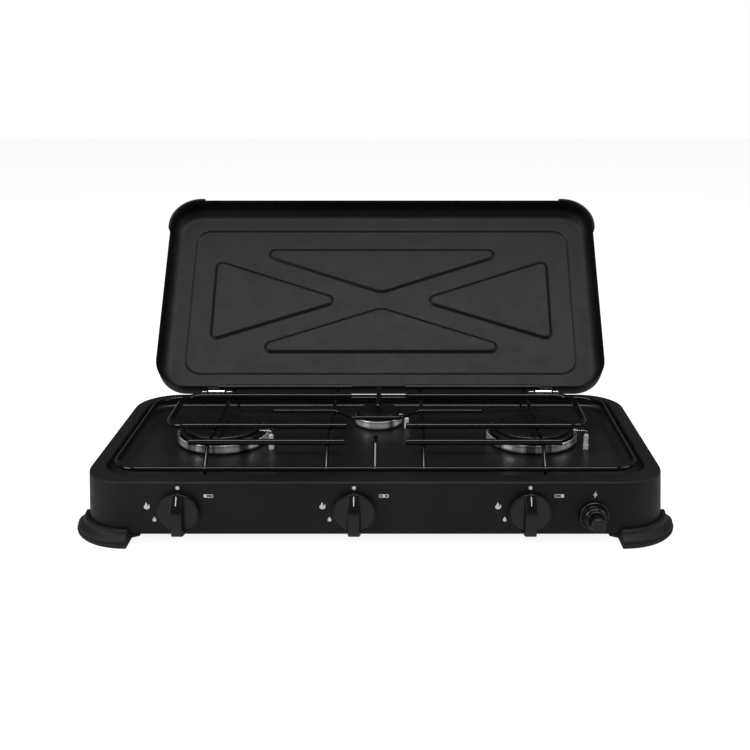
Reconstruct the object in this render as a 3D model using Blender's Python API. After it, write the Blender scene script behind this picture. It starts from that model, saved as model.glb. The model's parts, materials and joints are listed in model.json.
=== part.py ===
"""A three-burner camping stove with a hinged lid, lid open.

Metres, +Z up, -Y is the front where the knobs are. The origin is under the middle of the
whole stove's box, on the surface that it stands on. Every piece is first placed from the
middle of the housing, and the empty named stove carries them all back by STOVE_BACK.
"""
import math

import bmesh
import bpy
from mathutils import Matrix, Quaternion, Vector

MM = 0.001
GAP = 0.3 * MM

# housing and base
HOUSING_WIDTH = 650 * MM
HOUSING_DEPTH = 324.4 * MM
HOUSING_BOTTOM = 12 * MM
HOUSING_HEIGHT = 62 * MM
HOUSING_RADIUS = 54.5 * MM
SIDE_FLARE = 4 * MM
HOUSING_SHEET = 1.2 * MM
TOP_FILLET = 3.5 * MM
RIM_SIDE = 17.5 * MM
RIM_FRONT = 25 * MM
RIM_REAR = 16 * MM
OPENING_RADIUS = 36 * MM
LIP_DROP = 6.5 * MM
FLANGE_WIDTH = 26 * MM
BASE_SHEET = 1.0 * MM
BASE_INSET = 15 * MM
AIR_SLOT_LENGTH = 44 * MM
AIR_SLOT_WIDTH = 5 * MM
AIR_SLOT_PITCH = 14 * MM

# spill tray
TRAY_SHEET = 0.8 * MM
TRAY_FLOOR = 61.3 * MM
TRAY_FLANGE = 8 * MM
TRAY_FILLET = 5 * MM

# feet, each wrapped round a housing corner
FOOT_LIP = 5.5 * MM
FOOT_FLARE = 15 * MM
FOOT_UP = 7 * MM
FOOT_UNDER = 22 * MM
FOOT_TAB = 14 * MM
FOOT_SLANT = 3 * MM
FOOT_SCREW_INSET = 11 * MM
FOOT_SCREW_RADIUS = 2 * MM
FOOT_SCREW_HEAD = 4 * MM

# lid and its hinges
LID_SIDE_INSET = 9.75 * MM
LID_REAR_GAP = 8 * MM
LID_HEIGHT = 34 * MM
LID_SHEET = 1.0 * MM
LID_RADIUS = 43 * MM
LID_ROUNDING = 9 * MM
LID_RIM_GAP = 0.8 * MM
LID_LEAN = math.radians(42)
PRESS_INSET = 35 * MM
PRESS_RISE = 1.5 * MM
BRACE_DEPTH = 1.5 * MM
BRACE_LONG = 206 * MM
BRACE_LONG_BASE = 85 * MM
BRACE_LONG_TIP = 15.5 * MM
BRACE_SHORT = 66 * MM
BRACE_SHORT_BASE = 247 * MM
BRACE_SHORT_TIP = 56 * MM
BRACE_RADIUS = 7 * MM
GUARD_THICK = 3 * MM
GUARD_HEIGHT = 15 * MM
GUARD_TAB = 5 * MM
AXIS_BACK = 4 * MM
AXIS_UP = 1.5 * MM
HINGE_X = 226 * MM
PIN_RADIUS = 1.6 * MM
PIN_LENGTH = 41 * MM
KNUCKLE_RADIUS = 3 * MM
KNUCKLE_WIDTH = 22 * MM
LEAF_SHEET = 1.4 * MM
EAR_THICK = 2 * MM
RUNNING = 0.15 * MM

# pan support, welded from round wire
EDGE_WIRE = 2.5 * MM
CROSS_WIRE = 2.25 * MM
BAR_WIRE = 3.25 * MM
FINGER_WIRE = 2.6 * MM
WELD = 1.2 * MM
SUPPORT_GAP = 10 * MM
SUPPORT_RISE = 2 * MM
CROSS_RISE = 19.4 * MM
RAMP = 25 * MM
CROSS_PITCH = 137 * MM
CROSS_INNER = 55 * MM
BAR_OVERHANG = 21.5 * MM
LOOP_REAR = 62 * MM
LOOP_FRONT = 57 * MM
LOOP_OVERHANG = 58 * MM
MIDDLE_GAP = 35 * MM
FINGER_REACH = 6 * MM
REAR_FINGER_PAST = 46 * MM
FRONT_FINGER = 17 * MM

# burners
SIDE_BURNER_X = 192 * MM
SIDE_BURNER_Y = 10.7 * MM
REAR_BURNER_Y = 74 * MM
BIG_RADIUS = 56.75 * MM
SMALL_RADIUS = 31 * MM
CUP_HEIGHT = 12 * MM
CUP_WALL = 1.6 * MM
CUP_NECK_DROP = 23 * MM
PORT_INSET = 4.5 * MM
PORT_WALL = 7 * MM
SMALL_PORT_INSET = 2 * MM
SMALL_PORT_WALL = 2.6 * MM
PORT_RISE = 4 * MM
CAP_OVERHANG = 1.5 * MM
CAP_THICK = 4 * MM
TUBE_RADIUS = 8 * MM
TUBE_WALL = 1.2 * MM
ELECTRODE_SIDE = 63 * MM
ELECTRODE_FRONT = 32 * MM
SMALL_ELECTRODE_SIDE = 36.5 * MM
SMALL_ELECTRODE_FRONT = 17 * MM
CERAMIC_RADIUS = 3.4 * MM
CERAMIC_RISE = 19 * MM
SMALL_CERAMIC_RISE = 14 * MM
CERAMIC_DROP = 15 * MM
TIP_RADIUS = 0.9 * MM

# gas train
KNOB_FIRST = -216 * MM
KNOB_PITCH = 193.8 * MM
KNOB_UP = 27.5 * MM
KNOB_RADIUS = 23.6 * MM
KNOB_SKIRT = 4.2 * MM
KNOB_TRAVEL = 3.5 * MM
KNOB_REACH = 19 * MM
GRIP_BASE = 8.2 * MM
GRIP_TOP = 5.4 * MM
SPINDLE_RADIUS = 4 * MM
COLLAR_RADIUS = 9 * MM
COLLAR_THICK = 3 * MM
VALVE_WIDTH = 26 * MM
VALVE_DEPTH = 26 * MM
VALVE_HEIGHT = 15 * MM
RAIL_RADIUS = 6 * MM
INLET_X = -255 * MM
INLET_RADIUS = 4.5 * MM
NOZZLE_LENGTH = 26 * MM
JET_LENGTH = 7 * MM
SPINDLE_DEPTH = 12 * MM

# push igniter
IGNITER_X = 243 * MM
IGNITER_UP = 23 * MM
BEZEL_RADIUS = 17.2 * MM
BEZEL_FLANGE = 5 * MM
BEZEL_STEP_RADIUS = 12.5 * MM
BEZEL_REACH = 17 * MM
BUTTON_RADIUS = 8.5 * MM
BUTTON_REACH = 32 * MM
BUTTON_TRAVEL = 6 * MM
IGNITER_BODY_RADIUS = 11 * MM
IGNITER_BODY_LENGTH = 44 * MM
SPRING_RADIUS = 5 * MM
SPRING_WIRE = 0.6 * MM
SPRING_TURNS = 4
COIL_STEPS = 10
LEAD_RADIUS = 1.4 * MM
LEAD_FLOOR = 9 * MM

CORNER_STEPS = 6
ROUND_STEPS = 24
SMALL_STEPS = 12

# values that follow from the sizes above
HOUSING_TOP = HOUSING_BOTTOM + HOUSING_HEIGHT
FRONT = -HOUSING_DEPTH / 2
REAR = HOUSING_DEPTH / 2
OPENING_X = HOUSING_WIDTH / 2 - RIM_SIDE
OPENING_FRONT = FRONT + RIM_FRONT
OPENING_REAR = REAR - RIM_REAR
AXIS_Y = REAR + AXIS_BACK
AXIS_Z = HOUSING_TOP + AXIS_UP
LID_FRONT = FRONT + LID_SIDE_INSET - AXIS_Y
LID_BACK = -LID_REAR_GAP
LID_X = HOUSING_WIDTH / 2 - LID_SIDE_INSET
LID_RIM = LID_RIM_GAP - AXIS_UP
LID_TOP = LID_RIM + LID_HEIGHT
EDGE_Z = HOUSING_TOP + SUPPORT_RISE
CROSS_Z = EDGE_Z + CROSS_RISE
EDGE_X = OPENING_X - SUPPORT_GAP
EDGE_FRONT = OPENING_FRONT + SUPPORT_GAP
EDGE_REAR = OPENING_REAR - SUPPORT_GAP
CROSS_OUTER = CROSS_INNER + CROSS_PITCH
KNOB_Z = HOUSING_BOTTOM + KNOB_UP
KNOB_X = [KNOB_FIRST + KNOB_PITCH * number for number in range(3)]
IGNITER_Z = HOUSING_BOTTOM + IGNITER_UP
TUBE_Z = KNOB_Z + 3 * MM
COLLAR_FACE = FRONT + HOUSING_SHEET + 0.6 * MM
VALVE_FRONT = COLLAR_FACE + COLLAR_THICK + KNOB_TRAVEL + 1 * MM
VALVE_BACK = VALVE_FRONT + VALVE_DEPTH
RAIL_Z = KNOB_Z - VALVE_HEIGHT / 2 - GAP - RAIL_RADIUS
BURNERS = {
    "left": (-SIDE_BURNER_X, SIDE_BURNER_Y, BIG_RADIUS),
    "centre": (0, REAR_BURNER_Y, SMALL_RADIUS),
    "right": (SIDE_BURNER_X, SIDE_BURNER_Y, BIG_RADIUS),
}
LID_REACH = AXIS_Y - math.sin(LID_LEAN) * LID_FRONT + math.cos(LID_LEAN) * LID_TOP
STOVE_BACK = (BUTTON_REACH - FRONT - LID_REACH + LID_ROUNDING * 0.2) / 2

for old in list(bpy.data.objects):
    bpy.data.objects.remove(old, do_unlink=True)


# ---------------------------------------------------------------- shared tools

def material(name, colour, roughness, metallic=0.0):
    made = bpy.data.materials.get(name)
    if made:
        return made
    made = bpy.data.materials.new(name)
    made.use_nodes = True
    shader = made.node_tree.nodes["Principled BSDF"]
    shader.inputs["Base Color"].default_value = (*colour, 1)
    shader.inputs["Roughness"].default_value = roughness
    shader.inputs["Metallic"].default_value = metallic
    return made


def black_paint():
    return material("black_paint", (0.020, 0.021, 0.023), 0.42, 0.2)


def tray_paint():
    return material("tray_paint", (0.017, 0.018, 0.020), 0.38, 0.2)


def grate_enamel():
    return material("grate_enamel", (0.008, 0.008, 0.009), 0.18)


def burner_chrome():
    return material("burner_chrome", (0.78, 0.78, 0.77), 0.16, 1.0)


def burner_black():
    return material("burner_black", (0.012, 0.012, 0.013), 0.35)


def knob_plastic():
    return material("knob_plastic", (0.022, 0.023, 0.024), 0.35)


def button_plastic():
    return material("button_plastic", (0.010, 0.010, 0.011), 0.12)


def rubber():
    return material("foot_rubber", (0.022, 0.022, 0.023), 0.62)


def bright_steel():
    return material("bright_steel", (0.62, 0.62, 0.63), 0.25, 1.0)


def brass():
    return material("brass", (0.62, 0.47, 0.22), 0.30, 1.0)


def ceramic():
    return material("ceramic", (0.86, 0.85, 0.82), 0.25)


def lead_sleeve():
    return material("lead_sleeve", (0.32, 0.02, 0.02), 0.5)


def finish_mesh(name, mesh, finish, location=(0, 0, 0), smooth=True):
    """Turn a bmesh into a named object with its faces pointing out."""
    bmesh.ops.remove_doubles(mesh, verts=mesh.verts, dist=1e-6)
    bmesh.ops.recalc_face_normals(mesh, faces=mesh.faces)
    data = bpy.data.meshes.new(name)
    mesh.to_mesh(data)
    mesh.free()
    if smooth:
        data.shade_smooth()
        data.set_sharp_from_angle(angle=math.radians(35))
    return place(name, data, finish, location)


def place(name, data, finish, location=(0, 0, 0)):
    piece = bpy.data.objects.new(name, data)
    if finish:
        data.materials.append(finish)
    piece.location = location
    bpy.context.scene.collection.objects.link(piece)
    return piece


def guide(piece):
    """A cutter or a part of a join: it is left out of the model itself."""
    piece.hide_render = True
    piece.display_type = "WIRE"
    return piece


def join(piece, other, operation):
    change = piece.modifiers.new(operation.lower(), "BOOLEAN")
    change.operation = operation
    change.solver = "EXACT"
    change.object = guide(other)
    return piece


def rounded_loop(half_x, front, rear, radius, height):
    """Points of a rounded rectangle at one height, anticlockwise from its right side."""
    corners = (
        (half_x - radius, rear - radius, 0),
        (-half_x + radius, rear - radius, 90),
        (-half_x + radius, front + radius, 180),
        (half_x - radius, front + radius, 270),
    )
    points = []
    for x, y, start in corners:
        for step in range(CORNER_STEPS + 1):
            turn = math.radians(start + 90 * step / CORNER_STEPS)
            points.append((x + radius * math.cos(turn), y + radius * math.sin(turn), height))
    return points


def loft(mesh, loops, ring=False):
    """Bridge loops of equal length; the two ends meet in a ring or are filled."""
    rows = [[mesh.verts.new(point) for point in loop] for loop in loops]
    count = len(rows[0])
    pairs = list(zip(rows, rows[1:]))
    if ring:
        pairs.append((rows[-1], rows[0]))
    else:
        mesh.faces.new(rows[0])
        mesh.faces.new(rows[-1])
    for low, high in pairs:
        for step in range(count):
            after = (step + 1) % count
            mesh.faces.new((low[step], low[after], high[after], high[step]))


def turned(name, profile, finish, centre, axis=(0, 0, 1), steps=ROUND_STEPS, ring=False):
    """Spin a (radius, height) profile about an axis through centre."""
    mesh = bmesh.new()
    points = [mesh.verts.new((radius, 0, height)) for radius, height in profile]
    ends = points[1:] + points[:1] if ring else points[1:]
    lines = [mesh.edges.new(pair) for pair in zip(points, ends)]
    bmesh.ops.spin(
        mesh, geom=points + lines, cent=(0, 0, 0), axis=(0, 0, 1),
        angle=math.tau, steps=steps, use_merge=True,
    )
    piece = finish_mesh(name, mesh, finish, centre)
    piece.rotation_mode = "QUATERNION"
    piece.rotation_quaternion = Vector((0, 0, 1)).rotation_difference(Vector(axis))
    return piece


def rod(name, radius, length, finish, start, axis=(0, 0, 1), steps=SMALL_STEPS):
    profile = ((0, 0), (radius, 0), (radius, length), (0, length))
    return turned(name, profile, finish, start, axis, steps)


def block(name, low, high, finish, bevel=0.0):
    """A box between two corners, with its edges bevelled."""
    mesh = bmesh.new()
    size = Vector(high) - Vector(low)
    middle = (Vector(high) + Vector(low)) / 2
    bmesh.ops.create_cube(mesh, size=1, matrix=Matrix.Diagonal((*size, 1)))
    if bevel:
        bmesh.ops.bevel(
            mesh, geom=mesh.edges[:], offset=bevel, segments=2, profile=0.5,
            affect="EDGES", material=-1,
        )
    return finish_mesh(name, mesh, finish, middle)


def rounded_path(points, radius, steps=4):
    """A line through the points whose inner corners are arcs of the radius."""
    points = [Vector(point) for point in points]
    path = [points[0]]
    for before, corner, after in zip(points, points[1:], points[2:]):
        come = (before - corner).normalized()
        leave = (after - corner).normalized()
        half = come.angle(leave) / 2
        cut = min(radius / math.tan(half), (before - corner).length * 0.49,
                  (after - corner).length * 0.49)
        bend = cut * math.tan(half)
        middle = corner + (come + leave).normalized() * (bend / math.sin(half))
        first = corner + come * cut - middle
        last = corner + leave * cut - middle
        turn = first.rotation_difference(last)
        for step in range(steps + 1):
            path.append(middle + Quaternion().slerp(turn, step / steps) @ first)
    path.append(points[-1])
    return path


def wire(name, points, radius, finish, cyclic=False, sides=8):
    """A mesh of round wire along a line of points."""
    points = [Vector(point) for point in points]
    count = len(points)
    ways = []
    for number, point in enumerate(points):
        before = points[number - 1] if cyclic or number else point
        after = points[(number + 1) % count] if cyclic or number < count - 1 else point
        ways.append((after - before).normalized())
    across = ways[0].orthogonal().normalized()
    if abs(ways[0].z) < 0.9:
        across = ways[0].cross(Vector((0, 0, 1))).normalized()
    loops = []
    for number, (point, way) in enumerate(zip(points, ways)):
        if number:
            turn = ways[number - 1].rotation_difference(way)
            across = (turn @ across).normalized()
        second = way.cross(across).normalized()
        loop = []
        for side in range(sides):
            angle = math.tau * (side + 0.5) / sides
            loop.append(point + radius * (math.cos(angle) * across + math.sin(angle) * second))
        loops.append(loop)
    mesh = bmesh.new()
    loft(mesh, loops, ring=cyclic)
    return finish_mesh(name, mesh, finish)


# ---------------------------------------------------------------- casing

def opening_loop(grow, height):
    """The opening in the housing's top, wider by grow."""
    return rounded_loop(
        OPENING_X + grow, OPENING_FRONT - grow, OPENING_REAR + grow,
        OPENING_RADIUS + grow, height,
    )


def housing_loop(shrink, height):
    flare = SIDE_FLARE * (HOUSING_TOP - height) / HOUSING_HEIGHT
    return rounded_loop(
        HOUSING_WIDTH / 2 + flare - shrink, FRONT + shrink, REAR - shrink,
        HOUSING_RADIUS - shrink, height,
    )


def fillet(radius, steps):
    """Pairs (across, along) of a quarter circle, from its wall to its top."""
    turns = [math.pi / 2 * step / steps for step in range(steps + 1)]
    return [(radius * (1 - math.cos(turn)), radius * (1 - math.sin(turn))) for turn in turns]


def make_housing():
    sheet = HOUSING_SHEET
    low = HOUSING_BOTTOM
    loops = [housing_loop(FLANGE_WIDTH, low), housing_loop(0.8 * MM, low)]
    loops.append(housing_loop(0, low + 0.8 * MM))
    for across, down in fillet(TOP_FILLET, 3):
        loops.append(housing_loop(across, HOUSING_TOP - down))
    for across, down in reversed(fillet(2 * MM, 2)):
        loops.append(opening_loop(across, HOUSING_TOP - down))
    loops.append(opening_loop(0, HOUSING_TOP - LIP_DROP))
    loops.append(opening_loop(sheet, HOUSING_TOP - LIP_DROP))
    loops.append(opening_loop(sheet, HOUSING_TOP - 2 * MM))
    loops.append(opening_loop(2 * MM, HOUSING_TOP - sheet))
    loops.append(housing_loop(TOP_FILLET, HOUSING_TOP - sheet))
    loops.append(housing_loop(sheet, HOUSING_TOP - TOP_FILLET))
    loops.append(housing_loop(sheet, low + sheet))
    loops.append(housing_loop(FLANGE_WIDTH, low + sheet))
    mesh = bmesh.new()
    loft(mesh, loops, ring=True)
    housing = finish_mesh("housing", mesh, black_paint())
    for number, x in enumerate(KNOB_X):
        hole = rod(f"spindle_hole_{number}", SPINDLE_RADIUS + 1.5 * MM, 12 * MM, None,
                   (x, FRONT - 6 * MM, KNOB_Z), (0, 1, 0))
        join(housing, hole, "DIFFERENCE")
    hole = rod("igniter_hole", IGNITER_BODY_RADIUS + 1 * MM, 12 * MM, None,
               (IGNITER_X, FRONT - 6 * MM, IGNITER_Z), (0, 1, 0))
    join(housing, hole, "DIFFERENCE")
    hole = rod("inlet_hole", INLET_RADIUS + 2.5 * MM, 12 * MM, None,
               (INLET_X, REAR - 6 * MM, RAIL_Z), (0, 1, 0))
    join(housing, hole, "DIFFERENCE")
    for name, x, y in foot_screw_places():
        hole = rod(f"housing_hole_{name}", FOOT_SCREW_RADIUS + GAP, 6 * MM, None,
                   (x, y, low - 2 * MM), steps=SMALL_STEPS)
        join(housing, hole, "DIFFERENCE")


def make_tray():
    """The pressed spill tray, hung under the rim and open for burners and electrodes."""
    sheet = TRAY_SHEET
    wall = HOUSING_SHEET + GAP
    top = HOUSING_TOP - HOUSING_SHEET - 1 * MM
    loops = []
    for across, up in reversed(fillet(TRAY_FILLET, 4)):
        loops.append(opening_loop(wall - across, TRAY_FLOOR + up))
    loops.append(opening_loop(wall, top))
    loops.append(opening_loop(wall + TRAY_FLANGE, top))
    loops.append(opening_loop(wall + TRAY_FLANGE, top - sheet))
    loops.append(opening_loop(wall + sheet, top - sheet))
    for across, up in fillet(TRAY_FILLET + sheet, 4):
        loops.append(opening_loop(wall + sheet - across, TRAY_FLOOR - sheet + up))
    mesh = bmesh.new()
    loft(mesh, loops)
    tray = finish_mesh("hob_tray", mesh, tray_paint())
    for name, (x, y, radius) in BURNERS.items():
        hole = rod(f"burner_hole_{name}", neck_radius(radius) + 2 * MM, 12 * MM, None,
                   (x, y, TRAY_FLOOR - 6 * MM), steps=ROUND_STEPS)
        join(tray, hole, "DIFFERENCE")
        x, y = electrode_place(name)
        hole = rod(f"electrode_hole_{name}", CERAMIC_RADIUS + GAP, 12 * MM, None,
                   (x, y, TRAY_FLOOR - 6 * MM))
        join(tray, hole, "DIFFERENCE")


def make_base_plate():
    """A flat plate inside the bottom flange, slotted under each burner for air."""
    low = HOUSING_BOTTOM + HOUSING_SHEET + GAP
    radius = HOUSING_RADIUS - 5 * MM
    half = HOUSING_WIDTH / 2 - BASE_INSET
    front = FRONT + BASE_INSET
    loops = [rounded_loop(half, front, -front, radius, low)]
    loops.append(rounded_loop(half, front, -front, radius, low + BASE_SHEET))
    mesh = bmesh.new()
    loft(mesh, loops)
    plate = finish_mesh("base_plate", mesh, black_paint())
    for name, (x, y, radius) in BURNERS.items():
        for row in (-1.5, -0.5, 0.5, 1.5):
            middle = y + row * AIR_SLOT_PITCH
            slot = block(
                f"air_slot_{name}_{row}",
                (x - AIR_SLOT_LENGTH / 2, middle - AIR_SLOT_WIDTH / 2, low - 3 * MM),
                (x + AIR_SLOT_LENGTH / 2, middle + AIR_SLOT_WIDTH / 2, low + 5 * MM), None,
            )
            join(plate, slot, "DIFFERENCE")


# ---------------------------------------------------------------- feet

def foot_corners():
    side = HOUSING_WIDTH / 2 + SIDE_FLARE - HOUSING_RADIUS
    front = FRONT + HOUSING_RADIUS
    return {
        "front_left": (-side, front, 180),
        "front_right": (side, front, 270),
        "rear_left": (-side, -front, 90),
        "rear_right": (side, -front, 0),
    }


def foot_screw_places():
    reach = HOUSING_RADIUS - FOOT_SCREW_INSET
    places = []
    for name, (x, y, start) in foot_corners().items():
        turn = math.radians(start + 45)
        places.append((name, x + reach * math.cos(turn), y + reach * math.sin(turn)))
    return places


def foot_section(kind):
    """Section of a foot as (radius, height) about the housing's corner centre."""
    wall = HOUSING_RADIUS + GAP
    seat = HOUSING_BOTTOM - GAP
    inner = HOUSING_RADIUS - FOOT_UNDER
    if kind == "tab":
        return [
            (inner, seat - 1.5 * MM), (wall - 4 * MM, seat - 1.5 * MM),
            (wall - 2 * MM, seat - 1.4 * MM), (wall - 1.2 * MM, seat - 1.3 * MM),
            (wall - 0.8 * MM, seat - 1.2 * MM), (wall - 0.6 * MM, seat - 1.1 * MM),
            (wall - 0.5 * MM, seat - 1.0 * MM), (wall - 0.4 * MM, seat - 0.9 * MM),
            (wall - 0.4 * MM, seat - 0.7 * MM), (wall - 0.5 * MM, seat - 0.4 * MM),
            (inner, seat),
        ]
    if kind == "cut":
        return [
            (inner, seat - 5.5 * MM), (wall - 4 * MM, seat - 5.5 * MM),
            (wall - 2 * MM, seat - 5.3 * MM), (wall - 1.0 * MM, seat - 4.6 * MM),
            (wall - 0.6 * MM, seat - 3.6 * MM), (wall - 0.2 * MM, seat - 2.6 * MM),
            (wall + 0.6 * MM, seat - 1.6 * MM), (wall + 0.6 * MM, seat - 1.1 * MM),
            (wall + 0.3 * MM, seat - 0.6 * MM), (wall - 0.2 * MM, seat - 0.3 * MM),
            (inner, seat),
        ]
    flare = HOUSING_RADIUS + FOOT_FLARE
    lip = HOUSING_RADIUS + FOOT_LIP
    top = HOUSING_BOTTOM + FOOT_UP
    return [
        (inner, 0), (flare - 3 * MM, 0), (flare - 0.6 * MM, 1.4 * MM),
        (flare, 4.5 * MM), (flare - 2 * MM, 5.5 * MM), (flare - 1.2 * MM, 9 * MM),
        (lip, 14.5 * MM), (lip, top - 1 * MM), (wall, top), (wall, seat), (inner, seat),
    ]


def make_feet():
    for name, (x, y, start) in foot_corners().items():
        rows = []
        stations = [(start, -FOOT_TAB, "tab"), (start, -FOOT_SLANT, "cut")]
        for step in range(CORNER_STEPS + 1):
            stations.append((start + 90 * step / CORNER_STEPS, 0, "full"))
        stations += [(start + 90, FOOT_SLANT, "cut"), (start + 90, FOOT_TAB, "tab")]
        for degrees, along, kind in stations:
            turn = math.radians(degrees)
            out = Vector((math.cos(turn), math.sin(turn), 0))
            side = Vector((-math.sin(turn), math.cos(turn), 0))
            rows.append([
                out * radius + side * along + Vector((0, 0, height))
                for radius, height in foot_section(kind)
            ])
        mesh = bmesh.new()
        loft(mesh, rows)
        foot = finish_mesh(f"foot_{name}", mesh, rubber(), (x, y, 0))
        turn = math.radians(start + 45)
        reach = HOUSING_RADIUS - FOOT_SCREW_INSET
        place_x = x + reach * math.cos(turn)
        place_y = y + reach * math.sin(turn)
        join(foot, rod(f"foot_hole_{name}", FOOT_SCREW_RADIUS + GAP, 20 * MM, None,
                       (place_x, place_y, -2 * MM)), "DIFFERENCE")
        join(foot, rod(f"foot_sink_{name}", FOOT_SCREW_HEAD + 1 * MM, 6.6 * MM, None,
                       (place_x, place_y, -2 * MM)), "DIFFERENCE")
    for name, x, y in foot_screw_places():
        head = 4 * MM + GAP
        profile = (
            (0, head - 2.6 * MM), (FOOT_SCREW_HEAD - 1 * MM, head - 2.6 * MM),
            (FOOT_SCREW_HEAD, head - 1.6 * MM), (FOOT_SCREW_HEAD, head),
            (FOOT_SCREW_RADIUS, head), (FOOT_SCREW_RADIUS, HOUSING_BOTTOM + 6 * MM),
            (0, HOUSING_BOTTOM + 6 * MM),
        )
        low = head - 4 * MM
        shifted = [(radius, height - low) for radius, height in profile]
        turned(f"foot_screw_{name}", shifted, bright_steel(), (x, y, low), steps=SMALL_STEPS)


# ---------------------------------------------------------------- lid

def lid_loop(shrink, height):
    return rounded_loop(
        LID_X - shrink, LID_FRONT + shrink, LID_BACK - shrink,
        max(LID_RADIUS - shrink, 8 * MM), height,
    )


def brace_prism(name, corners, low, high):
    """A triangle with round corners, drawn between two heights."""
    path = []
    count = len(corners)
    for number, corner in enumerate(corners):
        before = Vector((*corners[number - 1], 0))
        after = Vector((*corners[(number + 1) % count], 0))
        middle = Vector((*corner, 0))
        start = middle + (before - middle) * 0.5
        end = middle + (after - middle) * 0.5
        path += rounded_path((start, middle, end), BRACE_RADIUS, 4)[1:-1]
    mesh = bmesh.new()
    loft(mesh, [[(p.x, p.y, low) for p in path], [(p.x, p.y, high) for p in path]])
    return finish_mesh(name, mesh, None, smooth=False)


def brace_corners():
    """The four triangles that leave a cross between them, about the lid's middle."""
    middle = (LID_FRONT + LID_BACK) / 2
    shapes = {}
    for name, side in (("front", -1), ("rear", 1)):
        shapes[name] = [
            (-BRACE_LONG, middle + side * BRACE_LONG_BASE),
            (BRACE_LONG, middle + side * BRACE_LONG_BASE),
            (0, middle + side * BRACE_LONG_TIP),
        ]
    for name, side in (("left", -1), ("right", 1)):
        shapes[name] = [
            (side * BRACE_SHORT_BASE, middle + BRACE_SHORT),
            (side * BRACE_SHORT_BASE, middle - BRACE_SHORT),
            (side * BRACE_SHORT_TIP, middle),
        ]
    return shapes


def make_lid(pivot):
    sheet = LID_SHEET
    border = LID_TOP - PRESS_RISE
    loops = [lid_loop(PRESS_INSET + 3 * MM, LID_TOP), lid_loop(PRESS_INSET, border)]
    for across, down in fillet(LID_ROUNDING, 4)[::-1]:
        loops.append(lid_loop(across, border - down))
    loops.append(lid_loop(0, LID_RIM))
    loops.append(lid_loop(sheet, LID_RIM))
    for across, down in fillet(LID_ROUNDING - sheet, 4):
        loops.append(lid_loop(sheet + across, border - sheet - down))
    loops.append(lid_loop(PRESS_INSET, border - sheet))
    loops.append(lid_loop(PRESS_INSET + 3 * MM, LID_TOP - sheet))
    mesh = bmesh.new()
    loft(mesh, loops)
    lid = finish_mesh("lid", mesh, black_paint())
    lid.parent = pivot
    for name, corners in brace_corners().items():
        plate = brace_prism(f"brace_plate_{name}", corners,
                            LID_TOP - sheet - BRACE_DEPTH, LID_TOP - sheet / 2)
        plate.parent = pivot
        join(lid, plate, "UNION")
    for name, corners in brace_corners().items():
        middle = Vector((sum(c[0] for c in corners) / 3, sum(c[1] for c in corners) / 3))
        inner = [tuple(middle + (Vector(c) - middle) * 0.97) for c in corners]
        cut = brace_prism(f"brace_cut_{name}", inner, LID_TOP - BRACE_DEPTH, LID_TOP + 2 * MM)
        cut.parent = pivot
        join(lid, cut, "DIFFERENCE")
    for name, side in (("left", -1), ("right", 1)):
        guard = corner_guard(f"lid_corner_guard_{name}", side)
        guard.parent = pivot


def corner_guard(name, side):
    """A rubber strip round a front corner of the lid, hooked on its rim."""
    centre = Vector((side * (LID_X - LID_RADIUS), LID_FRONT + LID_RADIUS, LID_RIM))
    inner = LID_RADIUS + GAP
    outer = inner + GUARD_THICK
    section = [
        (inner, 0), (outer - 0.8 * MM, 0), (outer, 0.8 * MM),
        (outer, GUARD_HEIGHT - 2 * MM), (outer - 1.5 * MM, GUARD_HEIGHT), (inner, GUARD_HEIGHT),
    ]
    start = 180 if side < 0 else 270
    rows = []
    stations = [(0, -GUARD_TAB)]
    stations += [(90 * step / CORNER_STEPS, 0) for step in range(CORNER_STEPS + 1)]
    stations.append((90, GUARD_TAB))
    for degrees, along in stations:
        turn = math.radians(start + degrees)
        out = Vector((math.cos(turn), math.sin(turn), 0))
        side_way = Vector((-math.sin(turn), math.cos(turn), 0))
        rows.append([
            out * radius + side_way * along + Vector((0, 0, height)) for radius, height in section
        ])
    mesh = bmesh.new()
    loft(mesh, rows)
    return finish_mesh(name, mesh, rubber(), centre)


def make_hinges(pivot):
    for name, x in (("left", -HINGE_X), ("right", HINGE_X)):
        pin = rod(f"hinge_pin_{name}", PIN_RADIUS, PIN_LENGTH, bright_steel(),
                  (x - PIN_LENGTH / 2, AXIS_Y, AXIS_Z), (1, 0, 0), steps=12)
        join(pin, rod(f"pin_head_{name}", PIN_RADIUS + 1 * MM, 1.6 * MM, None,
                      (x + PIN_LENGTH / 2 - 1 * MM, AXIS_Y, AXIS_Z), (1, 0, 0), steps=12), "UNION")
        base_leaf(name, x)
        leaf = lid_leaf(name, x)
        leaf.parent = pivot


def base_leaf(name, x):
    """The fixed leaf: a plate on the rear wall that rolls into the middle knuckle."""
    half = KNUCKLE_WIDTH / 2
    near = REAR + GAP
    leaf = block(f"hinge_base_leaf_{name}", (x - half, near, AXIS_Z - 28 * MM),
                 (x + half, near + LEAF_SHEET, AXIS_Z - 1 * MM), bright_steel(), 0.3 * MM)
    roll = rod(f"base_roll_{name}", KNUCKLE_RADIUS, KNUCKLE_WIDTH, None,
               (x - half, AXIS_Y, AXIS_Z), (1, 0, 0))
    join(leaf, roll, "UNION")
    bore = rod(f"base_bore_{name}", PIN_RADIUS + RUNNING, KNUCKLE_WIDTH + 4 * MM, None,
               (x - half - 2 * MM, AXIS_Y, AXIS_Z), (1, 0, 0), steps=12)
    join(leaf, bore, "DIFFERENCE")


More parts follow.
